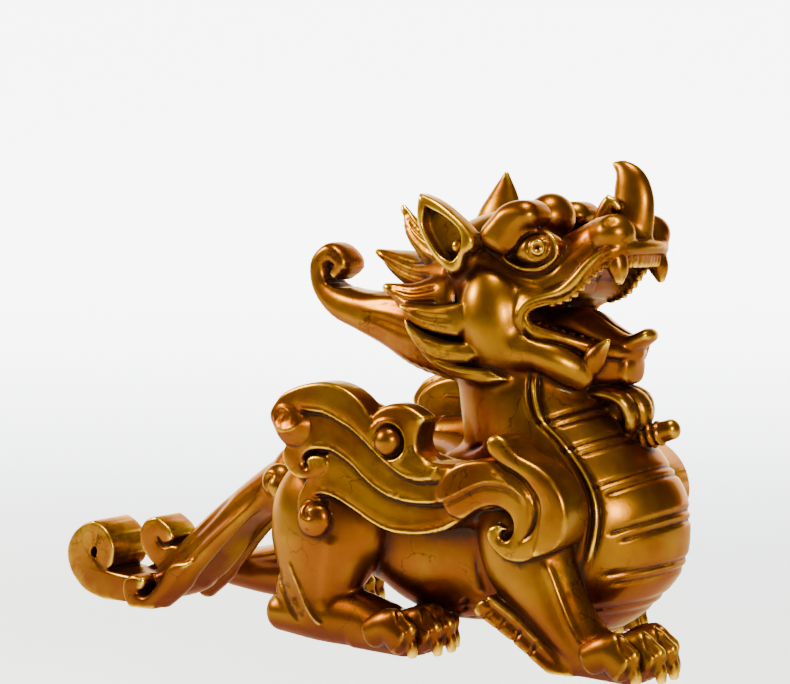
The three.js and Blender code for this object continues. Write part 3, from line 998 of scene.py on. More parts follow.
@dataclass
class Head:
    """Skull, muzzle, jaws, eyes, ears, cheek fins and teeth."""

    lips: Rows = (
        (127, 0, 135.5, 3, 3), (124, -9, 136, 3, 3), (117, -17, 137.5, 3, 3.2), (106, -25, 141, 3, 3.2),
        (96, -30, 144.4, 3, 3.2), (89.8, -32.5, 147, 3, 3.2), (86.8, -33.5, 151.6, 3, 3.2),
        (89, -33, 156.6, 3, 3.2), (96, -31.5, 160.4, 3, 3.3), (108, -30, 165, 3, 3.4),
        (119, -27, 176.5, 3, 3.4), (127, -23, 181, 3.2, 3.4), (132, -10, 182.5, 3.2, 3.4),
        (133, 0, 182.5, 3.2, 3.4),
    )
    lip_line: Rows = (
        (134, 181.2), (127.4, 179.9), (123.4, 176.5), (118.6, 171.5), (113.8, 165.8), (107.3, 161.2),
        (99, 159.3), (92.5, 157.7), (87.6, 155.3), (85.6, 152), (86.3, 147.6), (89.3, 143.3), (94.3, 141.6),
        (102.5, 141), (110.7, 139.2), (118, 134.6), (123.6, 130.5),
    )
    brow: Sequence[Rows] = ((
        (65, 191.5), (63.8, 187), (65, 183.5), (70.5, 180.6), (75.7, 178.9), (79.9, 180.8), (82.4, 184),
        (84.8, 187.6), (88, 190.6), (91.4, 192.4), (93.4, 195), (93.6, 197.6), (92.4, 200), (90.4, 202),
        (86.9, 203.4), (79.3, 202.9), (74, 200.6), (69.4, 196), (65, 191.5),
    ),)
    eye: Rows = (
        (79.3, 178.7), (83, 181.6), (86.3, 185.8), (91.3, 188.4), (96.3, 188.7), (100.4, 185.8), (101.8, 180),
        (96.3, 175.5), (89.7, 174.9), (83.9, 176.3), (79.3, 178.7),
    )
    pupil: Row = (94.8, 182.7)
    under_eye: Rows = (
        (68, 181), (73.5, 177.8), (79, 174.6), (86.4, 171), (93, 170.2), (99.6, 171.6), (106, 176),
    )
    over_cheek: Rows = (
        (57.3, 173.6), (66.7, 174.1), (75.2, 172.6), (81.1, 169.4), (88.6, 165.8), (98.5, 164.4),
        (108.3, 167.4),
    )
    ear: Sequence[Rows] = (
        ((37.3, 207), (36.2, 199.2), (36.9, 192.5), (41.7, 182.7), (47.8, 175.3), (54.7, 170.9), (58.5, 173),
         (60.5, 178.5), (65, 182), (65.5, 186.5), (61.5, 191.7), (55.5, 196.9), (46.9, 202.9), (37.3, 207)),
    )
    ear_hollow: Sequence[Rows] = (
        ((41, 201), (39.9, 193.2), (44.3, 184.2), (50.4, 177.9), (55.6, 176.6), (59.5, 182.8), (59, 189.5),
         (52.1, 195.6), (41, 201)),
    )
    left_ear: Rows = ((44, 22, 176, 14, 9), (38, 33, 193, 13, 6.5), (39, 36, 205, 8.5, 5), (40, 37, 218, 1, 1))
    fins: Sequence[Sequence[Rows]] = (
        (((26.4, 157), (34.4, 156.5), (44.9, 156), (60, 158)), ((60, 158), (64, 150), (57.9, 142.7)),
         ((57.9, 142.7), (44.9, 144.4), (34.4, 148.1), (28, 153), (26.4, 157))),
        (((28.5, 151), (39.7, 143.4), (50.2, 140), (63, 140)), ((63, 140), (68, 135), (62.2, 131.2)),
         ((62.2, 131.2), (53.6, 131), (45, 132.6), (36, 137.5), (30.5, 144.5), (28.5, 151))),
        (((33, 143), (41.5, 134.5), (51.9, 130.6), (62.3, 128.8), (73, 128.5)), ((73, 128.5), (80, 124.4)),
         ((80, 124.4), (72.5, 122), (62.3, 122.8), (51.9, 125.4), (41.5, 130.8), (35.4, 137.5), (33, 143))),
    )
    fin_lines: Sequence[Rows] = (
        ((31, 153.5), (37, 150.2), (46, 148), (57, 147)), ((33.5, 146), (40, 139.5), (48, 136), (60, 135)),
        ((37.5, 138.5), (44, 131.8), (53, 128.2), (64, 126.4), (73, 126)),
        ((35, 154.5), (44, 152.4), (55, 152)), ((41, 141), (50, 137.8), (58, 137.6)),
    )
    teeth: int = 12
    cranium: Rows = ((64, 0, 168), (33, 33, 31))
    face: Rows = ((62, 0, 138, 32, 32), (76, 0, 158, 32, 29), (90, 0, 172, 26, 16))
    cheek: Rows = ((70, -25, 150), (17.5, 18, 26))
    cheek_front: Rows = ((91, -18, 158), (16, 17, 12))
    crown: Rows = ((83.5, 0, 196), (11, 12, 11))
    forehead: Rows = ((50, 0, 184, 20, 12), (66, 0, 189, 18, 10), (80, 0, 190, 14, 8))
    snout: Rows = ((84, 0, 162, 29, 22), (100, 0, 168, 29, 17), (116, 0, 176.5, 27, 13), (129, 0, 184, 21, 8))
    nose_side: Rows = ((98, -12, 178, 10, 9), (109, -14, 184, 9, 8), (118, -16, 188, 8.5, 8))
    nostril: Rows = ((124, -18, 188.5), (9.5, 9.5, 8.8))
    nostril_line: Rows = ((119, 190.5), (122, 193.5), (126, 193))
    horn: Rows = (
        (119, 0, 186, 8, 16), (124, 0, 197, 6.8, 10.6), (124.6, 0, 205, 6, 9.4), (122.8, 0, 212.4, 5, 7.6),
        (119.4, 0, 217.2, 3.4, 4.4), (115, 0, 219.8, 1, 1.2),
    )
    horn_curl: Rows = (
        (112, -6, 187, 4, 5), (113.5, -8, 196, 3.4, 4), (117.5, -8.5, 202.5, 2.6, 3), (121, -8, 200, 1.8, 2),
    )
    mouth: Rows = (
        (90, 0, 152, 37, 3), (95, 0, 152, 36, 6), (102, 0, 151.5, 34, 8.5), (110, 0, 152.5, 32, 12.5),
        (117, 0, 155.5, 31, 17.5), (124, 0, 157.5, 31, 21), (150, 0, 160, 34, 22),
    )
    chin: Rows = (
        (80, 0, 138, 30, 14), (98, 0, 134, 27, 11), (111, 0, 130, 20, 9.5), (122.5, 0, 128.5, 10, 7),
    )
    jaw_roll: Rows = (
        (72, -26, 140, 10, 12), (84, -29, 137.5, 9, 10), (93, -29.5, 136.2, 8, 7.5),
        (101, -27.5, 132.6, 7.8, 7.6), (107, -24, 128.6, 7.2, 7.6), (110, -20.5, 125.6, 6, 6.4),
    )
    tongue: Rows = (
        (84, 0, 147, 17, 7), (100, 0, 148, 19, 7.5), (113, 0, 142.5, 15, 6), (124, 0, 139.5, 11, 4.4),
        (132.5, 0, 143.5, 7, 3.4),
    )
    tongue_line: Rows = ((96, 0, 156), (108, 0, 151), (120, 0, 145), (129, 0, 145))
    front_teeth: Row = (-14.4, -10, -5.8, -1.9)
    fangs: Sequence[Rows] = (
        ((125.5, -20.5, 180, 5, 5), (127.6, -21, 172.5, 4.6, 4.4), (128.2, -21.5, 167.6, 2, 2)),
        ((114, -20, 130.4, 4.8, 5.2), (117.6, -21, 135.8, 4.6, 4.8), (123, -21.4, 142, 1.3, 1.3)),
    )
    eyeball: Rows = ((91, -25.5, 181.6), (12.4, 8.4, 8.4))
    rings: Sequence[tuple] = (
        (4.6, Mark.GROOVE, 1.2, 0.8), (3.0, Mark.RIDGE, 0.6, 0.8), (0.6, Mark.GROOVE, 1.8, 1.3),
    )
    ear_root: Rows = ((54, -28, 177), (9, 8, 9))
    ear_knob: Rows = ((56, -37, 183), (2.6, 2.6, 3))

    def model(self, clay: Clay) -> None:
        """Adds the head, part by part.

        Args:
            clay: The modelled animal.
        """
        self.skull(clay)
        self.muzzle(clay)
        clay.cut(Sweep(self.mouth, power=4), 2)
        self.jaw(clay)
        self.mouth_edge(clay)
        self.fin_fans(clay)
        self.eyes(clay)
        self.ears(clay)

    def skull(self, clay: Clay) -> None:
        """Cranium, cheeks and brows.

        Args:
            clay: The modelled animal.
        """
        clay.add(Egg(*self.cranium), 4)
        clay.add(Sweep(self.face), 6)
        clay.add(Egg(*self.cheek, lean=-8), 3, BOTH)
        clay.add(Egg(*self.cheek_front, lean=-10), 5, BOTH)
        clay.add(Egg(*self.crown), 2)
        clay.add(Sweep(self.forehead), 4)

    def muzzle(self, clay: Clay) -> None:
        """Upper jaw, nostril bulges and the nose horn with a small curl on either side.

        Args:
            clay: The modelled animal.
        """
        clay.add(Sweep(self.snout, power=3, nose=0.4), 5)
        clay.add(Sweep(self.nose_side), 4, BOTH)
        clay.add(Egg(*self.nostril), 2.5, BOTH)
        clay.add(Sweep(self.horn, nose=0.5, spacing=1.2), 3)
        clay.add(Sweep(self.horn_curl), 1.2, BOTH)
        clay.score(Mark.GROOVE, at_y(-20, *self.nostril_line), 0.8, 1.2, stance=BOTH)

    def jaw(self, clay: Clay) -> None:
        """Lower jaw, the roll along it and the tongue.

        Args:
            clay: The modelled animal.
        """
        clay.add(Sweep(self.chin, power=3), 2)
        clay.add(Sweep(self.jaw_roll), 4, BOTH)
        clay.add(Sweep(self.tongue, nose=1), 1)
        clay.score(Mark.GROOVE, self.tongue_line, 1.0, 1.2, view=(-0.2, 0, -1))

    def mouth_edge(self, clay: Clay) -> None:
        """Lip rolls with their lines, small teeth and the four fangs.

        Args:
            clay: The modelled animal.
        """
        clay.add(Sweep(self.lips, across=(0.6, -0.5, -0.6)), 1.5, BOTH)
        clay.score(Mark.GROOVE, at_y(-32, *self.lip_line), 1.2, 0.8, stance=BOTH)
        upper = smooth_curve(self.lips[8:12], self.teeth)
        lower = smooth_curve(self.lips[1:6], self.teeth)
        for row, down, size in ((upper, -2.8, 2.0), (lower, 2.2, 1.6)):
            for x, y, z, *_ in row[1:-1]:
                root = (x + 0.3, y + 2.2, z, size, size)
                tip = (x + 0.3, y + 2.2, z + down * 1.5, size * 0.95, size * 0.8)
                clay.add(Sweep((root, tip), power=4, nose=0.5), 0.3, BOTH)
        for y in self.front_teeth:
            back = y * y * 0.006
            tooth = ((131 - back, y, 181, 2, 1.6), (130.4 - back, y, 174.5, 1.9, 1.4))
            clay.add(Sweep(tooth, power=4, nose=0.5), 0.3, BOTH)
        for rows in self.fangs:
            clay.add(Sweep(rows, nose=0.6), 0.8, BOTH)

    def fin_fans(self, clay: Clay) -> None:
        """Three crescent fins behind each cheek, each with lines along it.

        Args:
            clay: The modelled animal.
        """
        for number, outline in enumerate(self.fins):
            clay.add(Plate(outline, -41 + number, -26, 2.2, 1.0), 1.0, BOTH)
        for line in self.fin_lines:
            clay.score(Mark.LAP, at_y(-41, *line), 1.0, 2.2, view=ACROSS, stance=BOTH)

    def eyes(self, clay: Clay) -> None:
        """Brow ridge, eyeball, lids and ringed pupil.

        Args:
            clay: The modelled animal.
        """
        clay.add(Plate(self.brow, -35, -14, 6, 1.5), 2.4, BOTH)
        clay.add(Egg(*self.eyeball), 1.5, BOTH)
        clay.score(Mark.GROOVE, at_y(-33, *self.eye), 1.6, 1.0, stance=BOTH, taper=0)
        wider = [(90.5 + (x - 90.5) * 1.2, 181.8 + (z - 181.8) * 1.26) for x, z in self.eye]
        clay.score(Mark.RIDGE, at_y(-33, *wider), 1.1, 1.2, stance=BOTH, taper=0)
        clay.score(Mark.GROOVE, at_y(-33, *self.under_eye), 1.3, 1.1, stance=BOTH)
        clay.score(Mark.GROOVE, at_y(-34, *self.over_cheek), 1.3, 2.4, stance=BOTH)
        x, z = self.pupil
        turns = np.linspace(0, 2 * math.pi, 13)
        for radius, mark, depth, width in self.rings:
            ring = [(x + radius * math.cos(turn), z + radius * math.sin(turn)) for turn in turns]
            clay.score(mark, at_y(-34, *ring), depth, width, stance=BOTH, taper=0)

    def ears(self, clay: Clay) -> None:
        """Pointed ears, each with a hollow.

        Args:
            clay: The modelled animal.
        """
        clay.add(Egg(*self.ear_root), 2)
        clay.add(Plate(self.ear, -41, -30, 2.4, 0.5), 1.5)
        clay.cut(Plate(self.ear_hollow, -60, -34.5, 2.5), 1.2)
        clay.add(Egg(*self.ear_knob), 0.8)
        clay.add(Sweep(self.left_ear, across=FORWARD, nose=0.4), 1.2)
        inner = [(x + 2, y + t * 0.9, z, w * 0.66, t * 0.66) for x, y, z, w, t in self.left_ear[:3]]
        clay.cut(Sweep(inner, across=FORWARD, nose=1), 1.0)


@dataclass
class Mane:
    """The long lock that ends in a scroll, and the tufts over it."""

    lock: Rows = (
        (52, 0, 146, 30, 30), (26, 0, 144, 25, 20.5), (6, 0, 148, 19, 15), (-13, 0, 151.5, 15, 10),
        (-28, 0, 156, 12, 8), (-38, 0, 164.5, 10, 5.6), (-39, 0, 174.5, 10, 5), (-32.5, 0, 179.5, 10, 5),
        (-26, 0, 174, 10, 4.6), (-30, 0, 169, 9, 3),
    )
    lock_hairs: Row = (102, 128, 154, 180, 206, 232, 258)
    tufts: Sequence[Rows] = (
        ((42, 0, 168, 28, 18), (22, 0, 169.5, 20, 11), (6, 0, 174, 12, 7), (-9.5, 0, 180, 2, 1.5)),
        ((42, -12, 178, 12, 14), (28, -12, 182.5, 8, 8), (17, -11, 191, 5, 5), (11, -10, 201, 1.5, 1.5)),
        ((44, -22, 158, 12, 14), (28, -26, 158, 8, 9), (12, -27, 164, 2, 2)),
    )
    tuft_hairs: Row = (90, 120, 150, 180, 210)

    def model(self, clay: Clay) -> None:
        """Adds the mane.

        Args:
            clay: The modelled animal.
        """
        strokes = [Flute(angle, 0.5, 1.8, 0.05, 0.4) for angle in self.lock_hairs]
        clay.add(Sweep(self.lock, power=3, nose=0.6, flutes=strokes), 1.2, BOTH)
        hairs = [Flute(angle, 1.0, 1.1, 0.1, 0.95) for angle in self.tuft_hairs]
        for rows in self.tufts:
            clay.add(Sweep(rows, flutes=hairs), 1.5, BOTH)


@dataclass
class Beard:
    """Strands from under the chin that gather into a ringed knob on the chest."""

    strand_lines: Row = (-140, -90, -40)
    core: Rows = ((117, 0, 108), (9, 9, 13))
    knob: Rows = ((120, 0, 95, 6, 6), (128, 0, 97.4, 5, 5), (134, 0, 99.2, 5, 5), (144, 0, 102.5, 4.6, 4.6))
    rings: Rows = ((131, 98.3), (134.5, 99.3), (138, 100.4))
    ring_size: Row = (1.6, 6, 6)

    def model(self, clay: Clay) -> None:
        """Adds the beard.

        Args:
            clay: The modelled animal.
        """
        lines = [Flute(angle, 0.8, 0.8) for angle in self.strand_lines]
        for y, reach, stance in ((0, 4, AS_GIVEN), (-9, 1, BOTH)):
            strand = (
                (102, y * 0.7, 115, 5.5, 3.5), (114, y * 1.1, 118, 5.5, 3.5),
                (124 + reach, y * 1.1, 115, 5.5, 3.5), (127 + reach, y * 0.8, 107, 5, 3.2),
                (123, y * 0.3, 97, 3, 3),
            )
            clay.add(Sweep(strand, flutes=lines), 1.0, stance)
        clay.add(Egg(*self.core), 1.5)
        clay.add(Sweep(self.knob), 1.0)
        for x, z in self.rings:
            clay.add(Egg((x, 0, z), self.ring_size, lean=-17), 0.8)


@dataclass
class Wing:
    """Three S-shaped bands that curl up at the rear, the crest over them and the scroll on the shoulder."""

    top_edge: Rows = (
        (-14.3, 108.3), (-6, 108.1), (1.5, 107.4), (9.6, 104.3), (17.6, 100.2), (24.3, 95), (30.9, 89.7),
        (37.4, 84.9), (43.9, 81.4), (50.4, 80), (58, 80.6), (70, 84),
    )
    middle_edge: Rows = (
        (-8.4, 81.3), (-11.2, 83.4), (-10.6, 86.9), (-6.8, 90), (-1.3, 91.1), (4.2, 90.8), (9.6, 88.5),
        (14.9, 85.5), (20.9, 80.4), (26.9, 76.1), (33.5, 72.6), (40.7, 70.7), (49.1, 69.8), (58.1, 70.4),
        (64.5, 71.9), (72.7, 75.8), (78.9, 78.9), (84.5, 80.9), (90.7, 81.3), (95.6, 80.5), (99.9, 78.6),
        (102.9, 76.2), (104.7, 73.9),
    )
    low_edge: Rows = (
        (-6.1, 69.4), (-1.3, 70.6), (4.1, 69.8), (10.9, 67.1), (17.6, 63.7), (24.2, 60.2), (30.9, 57.3),
        (37.4, 55.9), (44, 55.6), (51.7, 56.2), (58.1, 57.5), (63.2, 59.2), (68.9, 62.4), (74, 65.5),
        (79, 68.6),
    )
    rise: Rows = (
        (-20.6, 92.6), (-26.9, 100.3), (-29, 106), (-25.4, 112), (-21.9, 115.5), (-14.3, 119), (-4.6, 121.3),
        (2.9, 121.6), (11, 119.6), (17.6, 116), (23, 111), (28, 104),
    )
    top_ball: Rows = ((-14.3, 108.3), (-8.6, 105.5), (-6.8, 101.5), (-9, 96), (-14, 92.6), (-20.6, 92.6))
    middle_curl: Rows = (
        (-10.6, 86.9), (-7, 88.4), (-2, 88.6), (1.6, 86.6), (2.4, 83.6), (0.1, 80.6), (-4.7, 78.2),
        (-10.9, 76.9), (-16.5, 78), (-21, 82), (-23, 87), (-20.6, 92.6),
    )
    crest: Sequence[Rows] = (
        ((24.5, 99), (24.8, 104), (25.9, 107.6), (29.6, 110.9), (34.8, 113), (40.7, 113.5), (45.9, 112.2),
         (50.4, 109.9), (54, 107.6)),
        ((54, 107.6), (50.6, 102.4), (49.4, 98), (49.8, 93.6), (51.7, 90.9), (56.5, 87.6)),
        ((56.5, 87.6), (48, 80), (34, 84), (24.5, 99)),
    )
    inner_side: Sequence[Rows] = (
        ((-24, 96), (-24, 107), (-14, 115.5), (3, 118.5), (18, 113), (30, 109.5), (41, 110.5), (50, 106),
         (49, 96), (57, 86.5), (78, 88), (84, 74), (60, 61), (44, 59), (20, 67), (0, 73), (-12, 77),
         (-21, 85), (-24, 96)),
    )
    low_rest: Sequence[Rows] = (
        ((79, 68.6), (96, 72), (96, 82), (82, 90)),
        ((82, 90), (72.7, 89), (64.5, 87.8), (56.8, 87.8), (46, 86), (30, 90), (8, 96), (-7, 91), (-7.5, 80)),
        ((-7.5, 80), (-12, 74), (-15.2, 68), (-14.6, 61.5), (-10.5, 57), (-5, 56), (-0.4, 58.4), (1.2, 62.6),
         (0, 66.5), (-3.4, 68.4), (-6.1, 69.4)),
    )
    middle_rest: Sequence[Rows] = (
        ((104.7, 73.9), (100, 84), (82, 89)),
        ((82, 89), (60, 86.5), (40, 90), (24, 104), (5, 112.5), (-12, 112.5), (-24, 104), (-20.6, 92.6)),
    )
    top_rest: Sequence[Rows] = (((58, 80.6), (60, 86)), ((60, 86), (50, 88.5), (40, 93), (28, 104)))
    core: Rows = ((-8, -44, 84, 8, 14), (20, -44, 82, 8, 18), (60, -44, 74, 10, 14), (104, -42, 70, 12, 20))
    ball: Row = (34.8, 96.9)
    ball_ring: Rows = (
        (26.3, 100.1), (29.6, 104.2), (34.6, 105.8), (39.6, 104.4), (43, 100.4), (44.2, 95.4), (43.4, 90.8),
        (39, 88),
    )
    top_end: Rows = ((-16.5, FLANK + 1, 100.6), (9, 5.5, 8.6))
    top_end_rim: Rows = (
        (-12.5, 107), (-17.1, 108.4), (-21.6, 109.2), (-24.2, 106.8), (-24.9, 103), (-22.4, 99.8),
        (-18.5, 98.8), (-13.6, 100.1), (-9.3, 103.4),
    )
    top_end_dent: Rows = ((-20, 105.5), (-19, 104), (-15, 104.5))
    middle_spiral: Rows = ((-8.4, 82), (-10.8, 83.6), (-10.6, 86.4), (-7.6, 88.9), (-3, 89.6), (2, 89))
    low_end: Rows = ((-5.6, FLANK + 1.6, 58.8), (8.6, 5, 8.4))
    low_spiral: Rows = ((1.4, 66), (-2, 66.8), (-6, 66), (-8.4, 63.4), (-7, 60.8), (-4, 60.6))
    finger: Sequence[Rows] = (
        ((110, 60), (111.4, 67.7), (111.7, 72.5), (110.7, 76.2), (108.3, 79.7), (105.3, 83.3), (101.7, 85.7),
         (96.8, 88.1), (92.5, 90), (88.6, 92.6), (86.2, 95.2), (85.6, 98.5), (87.2, 101.4), (90.4, 102.4),
         (94.4, 100.7), (97.4, 97.3), (101.6, 93.9), (106.5, 91.9), (110.7, 90), (115.5, 86.8), (119.4, 83.1),
         (122.6, 78.5), (124.6, 72.3), (125, 67), (123.8, 61.6), (121, 56.4), (116.8, 53.8), (112.6, 52),
         (108, 51), (110, 60)),
    )
    volute: Sequence[Rows] = (
        ((66, 66), (60, 76), (68, 87), (84, 91), (95, 89), (105, 83), (112, 74), (114, 62), (112.6, 54),
         (107.8, 50.3), (101.8, 48.2), (95.7, 48.4), (90.8, 50.6), (87.1, 54), (85.2, 58.2), (86, 61.4),
         (88.9, 63.2), (92, 63.2), (95, 61.6)),
        ((95, 61.6), (92.9, 61), (91.7, 59.4), (92.2, 57.6), (93.9, 56.8), (96.4, 57.8), (98.1, 60.8),
         (98.3, 64.5), (97, 67.7), (93.8, 70.3), (89.5, 71.5), (84.5, 70.9), (79, 68.6), (72, 64.5), (66, 66)),
    )
    inner_line: Rows = ((88, 86.5), (94.4, 84.6), (99.2, 82.4), (102.9, 79.4), (105.6, 75.3), (107.2, 71))
    long_line: Rows = (
        (88, 90.5), (95.6, 87.2), (100.4, 84.8), (104.4, 81.4), (107.5, 77.3), (109.2, 72.3), (109.2, 66.9),
        (106.8, 61.5), (101.8, 56.7),
    )
    volute_spiral: Rows = ((84.5, 69.4), (89.5, 70), (93, 68.8), (96, 66), (96.6, 62.5))
    volute_eye: Rows = ((90, 61.5), (92.5, 62), (94.5, 60.8))
    lead: float = 9.0         # how much further forward the left wing lies

    def model(self, clay: Clay) -> None:
        """Adds both wings and the scrolls over the shoulders.

        Args:
            clay: The modelled animal.
        """
        for stance in (AS_GIVEN, Stance(Side.LEFT, self.lead)):
            self.bands(clay, stance)
            self.lines(clay, stance)
        self.shoulder(clay)

    def bands(self, clay: Clay, stance: Stance) -> None:
        """Adds one wing, band by band from the lowest to the crest.

        Args:
            clay: The modelled animal.
            stance: Which side it lies on, and how far it is moved.
        """
        clay.add(Sweep(self.core), 2, stance)
        low = [self.low_edge, *self.low_rest]
        middle = [self.middle_edge[2:], *self.middle_rest, self.middle_curl[::-1]]
        top = [self.top_edge[:-1], *self.top_rest, self.rise[::-1], self.top_ball[::-1]]
        clay.add(Plate(self.inner_side, -53, -44, 3), 1.0, stance)
        clay.add(Plate(low, FLANK + 1.6, -42, 1.3), 1.0, stance)
        clay.add(Plate(middle, FLANK + 0.4, -46, 1.2), 0.6, stance)
        clay.add(Plate(top, FLANK - 1.0, -48, 1.6, 0.6), 0.6, stance)
        clay.add(Plate(self.crest, FLANK + 0.2, -50, 2.2, 1.0), 0.8, stance)
        x, z = self.ball
        clay.cut(Egg((x + 1.5, FLANK - 1.5, z - 0.5), (8.6, 5, 8.6)), 1.0, stance)
        clay.add(Egg((x, FLANK + 1.5, z), (6.2, 6, 6.2)), 0.5, stance)
        clay.add(Egg(*self.top_end), 1.5, stance)
        clay.add(Egg(*self.low_end), 0.8, stance)

    def lines(self, clay: Clay, stance: Stance) -> None:
        """Carves the overlapping edges of the bands and their spirals.

        Args:
            clay: The modelled animal.
            stance: Which side it lies on, and how far it is moved.
        """
        def carve(mark: Mark, rows: Rows, depth: float, width: float) -> None:
            """Lays one line on the flank."""
            clay.score(mark, at_y(FLANK, *rows), depth, width, view=ACROSS, stance=stance)

        carve(Mark.LAP, self.top_edge, 1.5, 5.0)
        carve(Mark.LAP, self.middle_edge[2:14], 1.5, 5.0)
        carve(Mark.LAP, self.low_edge, 1.4, 4.5)
        for rows, shift in ((self.top_edge[:-2], 2.3), (self.middle_edge[3:14], 2.3), (self.low_edge, 2.2)):
            carve(Mark.GROOVE, [(x, z + shift) for x, z in rows], 0.5, 0.7)
        carve(Mark.RIDGE, self.ball_ring, 0.9, 1.0)
        carve(Mark.RIDGE, self.top_end_rim, 1.0, 1.2)
        carve(Mark.GROOVE, self.top_end_dent, 1.2, 1.8)
        carve(Mark.GROOVE, self.middle_spiral, 2.6, 1.2)
        carve(Mark.GROOVE, self.low_spiral, 1.6, 1.1)

    def shoulder(self, clay: Clay) -> None:
        """Scroll and long curl over each shoulder, where the wing springs.

        Args:
            clay: The modelled animal.
        """
        clay.add(Plate(self.volute, FLANK - 0.6, -42, 1.6, 0.8), 0.8, BOTH)
        clay.add(Plate(self.finger, FLANK - 2.0, -42, 2.4, 1.0), 0.8, BOTH)

        def carve(mark: Mark, rows: Rows, depth: float, width: float) -> None:
            """Lays one line on both shoulders."""
            clay.score(mark, at_y(FLANK, *rows), depth, width, view=ACROSS, stance=BOTH)

        carve(Mark.LAP, self.middle_edge[12:], 1.6, 4.5)
        carve(Mark.GROOVE, self.long_line, 1.9, 1.0)
        carve(Mark.GROOVE, [(x - 1.6, z - 1.9) for x, z in self.long_line[1:-1]], 1.2, 0.8)
        carve(Mark.RIDGE, self.inner_line, 0.9, 1.1)
        carve(Mark.GROOVE, self.volute_spiral, 1.0, 1.0)
        carve(Mark.GROOVE, self.volute_eye, 0.8, 0.9)


@dataclass
class Legs:
    """Four legs and their paws. The right ones stand forward."""

    toe_places: Row = (-15.5, -5.4, 5.0, 15.0)
    toe_lag: Row = (8.0, 1.0, 0.0, 4.0)
    front_step: float = -56.0
    hind_step: float = -94.0
    fore_paw: Row = (128, 165)
    hind_paw: Row = (18, 56)
    foreleg: Rows = (
        (94, -42, 74, 14, 24), (95, LEG_Y, 54, 14, 22), (101, LEG_Y, 38, 13, 20), (112, LEG_Y, 23, 12, 16),
        (126, LEG_Y, 11, 13, 12), (136, LEG_Y, 8, 14, 9),
    )
    fringe: Sequence[Rows] = (
        ((82, 31), (76.5, 27), (75, 23), (81, 19.5), (87, 16), (93, 12.5), (99, 8.5), (106, 3.5), (113, -1)),
        ((113, -1), (124, -3), (122, 6), (109, 15), (95, 26), (82, 31)),
    )
    fringe_cuts: Sequence[Rows] = (
        ((79, 20.5), (83, 23), (87, 26)), ((87, 16), (90, 19), (93, 22.5)),
        ((95, 11.5), (98, 14.5), (101, 18.5)), ((103, 6.5), (106, 9.5), (109, 14)),
    )
    shin: Rows = ((111, 49), (114, 44), (118, 35), (122, 26), (126, 19), (130, 14), (135, 11))
    fringe_top: Rows = ((78, 50), (79, 39), (81, 32), (88, 25), (95, 20), (102, 15), (109, 9), (118, 3))
    leg_side: Rows = ((85, 36), (97, 28), (106, 21), (114, 13), (119, 7), (125, 4))
    thigh: Rows = ((-9, -41, 56), (31, 19, 32))
    shank: Rows = ((-12, LEG_Y, 46, 12, 24), (-13, LEG_Y, 30, 12, 22), (-19, LEG_Y, 18, 11, 19))
    foot: Rows = (
        (24, LEG_Y, 11, 13, 10), (10, LEG_Y, 12, 12, 13), (-12, LEG_Y, 12, 12, 12), (-33, LEG_Y, 12, 10, 9.5),
    )
    heel_ridge: Rows = ((-20, 38), (-19, 34), (-15, 26), (-11, 18), (-6, 12), (-1, 9))
    heel_line: Rows = ((-27, 33), (-23, 24), (-19, 16), (-14, 10))
    heel_cuts: Rows = ((-21.5, 26.5), (-17.5, 20), (-13.5, 14))
    shank_ridge: Rows = ((4, 52), (2, 41), (0, 33), (-1, 24), (-3, 16))

    def paw(self, clay: Clay, heel: float, front: float, stance: Stance) -> None:
        """Adds one paw.

        Args:
            clay: The modelled animal.
            heel: Where the paw ends behind.
            front: Where the longest toe ends.
            stance: Which side it lies on, and how far it is moved.
        """
        clay.add(Sweep([(heel - 6, LEG_Y, 6, 11, 9), (front - 17, LEG_Y, 8, 18, 12)]), 2, stance)
        for place, lag in zip(self.toe_places, self.toe_lag):
            tip = front - lag
            y = LEG_Y + place
            toe = [(tip - 22, y, 10, 5.6, 7), (tip - 13, y, 13.4, 6.2, 8), (tip - 6, y, 9, 6.2, 8.6)]
            clay.add(Sweep(toe, nose=0.8), 0.6, stance)
            clay.add(Egg((tip - 10, y, 16.6), (5.4, 5, 5.4)), 1.2, stance)
            claw = [(tip - 5, y, 10, 2.8, 3), (tip - 1.8, y, 6, 3, 3), (tip - 1, y, 1.6, 2.6, 2)]
            clay.add(Sweep(claw, nose=0.6), 1.6, stance)
            for side in (-1, 1):
                fork = [(tip - 10, y + side * 0.6, 21), (tip - 6.5, y + side * 3, 17),
                        (tip - 4, y + side * 3.6, 11), (tip - 2, y + side * 3.8, 4)]
                clay.score(Mark.GROOVE, fork, 1.3, 1.0, view=(-0.75, 0, -0.65), stance=stance)

    def fore(self, clay: Clay, stance: Stance) -> None:
        """Adds a fore leg, with the notched fringe behind it.

        Args:
            clay: The modelled animal.
            stance: Which side it lies on, and how far it is moved.
        """
        clay.add(Sweep(self.foreleg), 2, stance)
        clay.add(Plate(self.fringe, -56.5, -44, 2.2), 1.2, stance)

        def carve(mark: Mark, rows: Rows, depth: float, width: float) -> None:
            """Lays one line on the leg."""
            clay.score(mark, at_y(-58, *rows), depth, width, stance=stance)

        carve(Mark.RIDGE, self.shin, 1.6, 2.2)
        carve(Mark.GROOVE, self.fringe_top, 1.1, 1.3)
        carve(Mark.GROOVE, self.leg_side, 1.4, 2.6)
        for rows in self.fringe_cuts:
            carve(Mark.GROOVE, rows, 1.2, 0.75)
        self.paw(clay, *self.fore_paw, stance.planted())

    def hind(self, clay: Clay, stance: Stance) -> None:
        """Adds a hind leg, its heel a little clear of the ground. A leg that is stepped back is plain.

        Args:
            clay: The modelled animal.
            stance: Which side it lies on, and how far it is moved.
        """
        clay.add(Egg(*self.thigh), 3, stance)
        clay.add(Sweep(self.shank), 7, stance)
        clay.add(Sweep(self.foot), 3, stance.planted())

        def carve(mark: Mark, rows: Rows, depth: float, width: float) -> None:
            """Lays one line on the leg."""
            clay.score(mark, at_y(-60, *rows), depth, width, stance=stance)

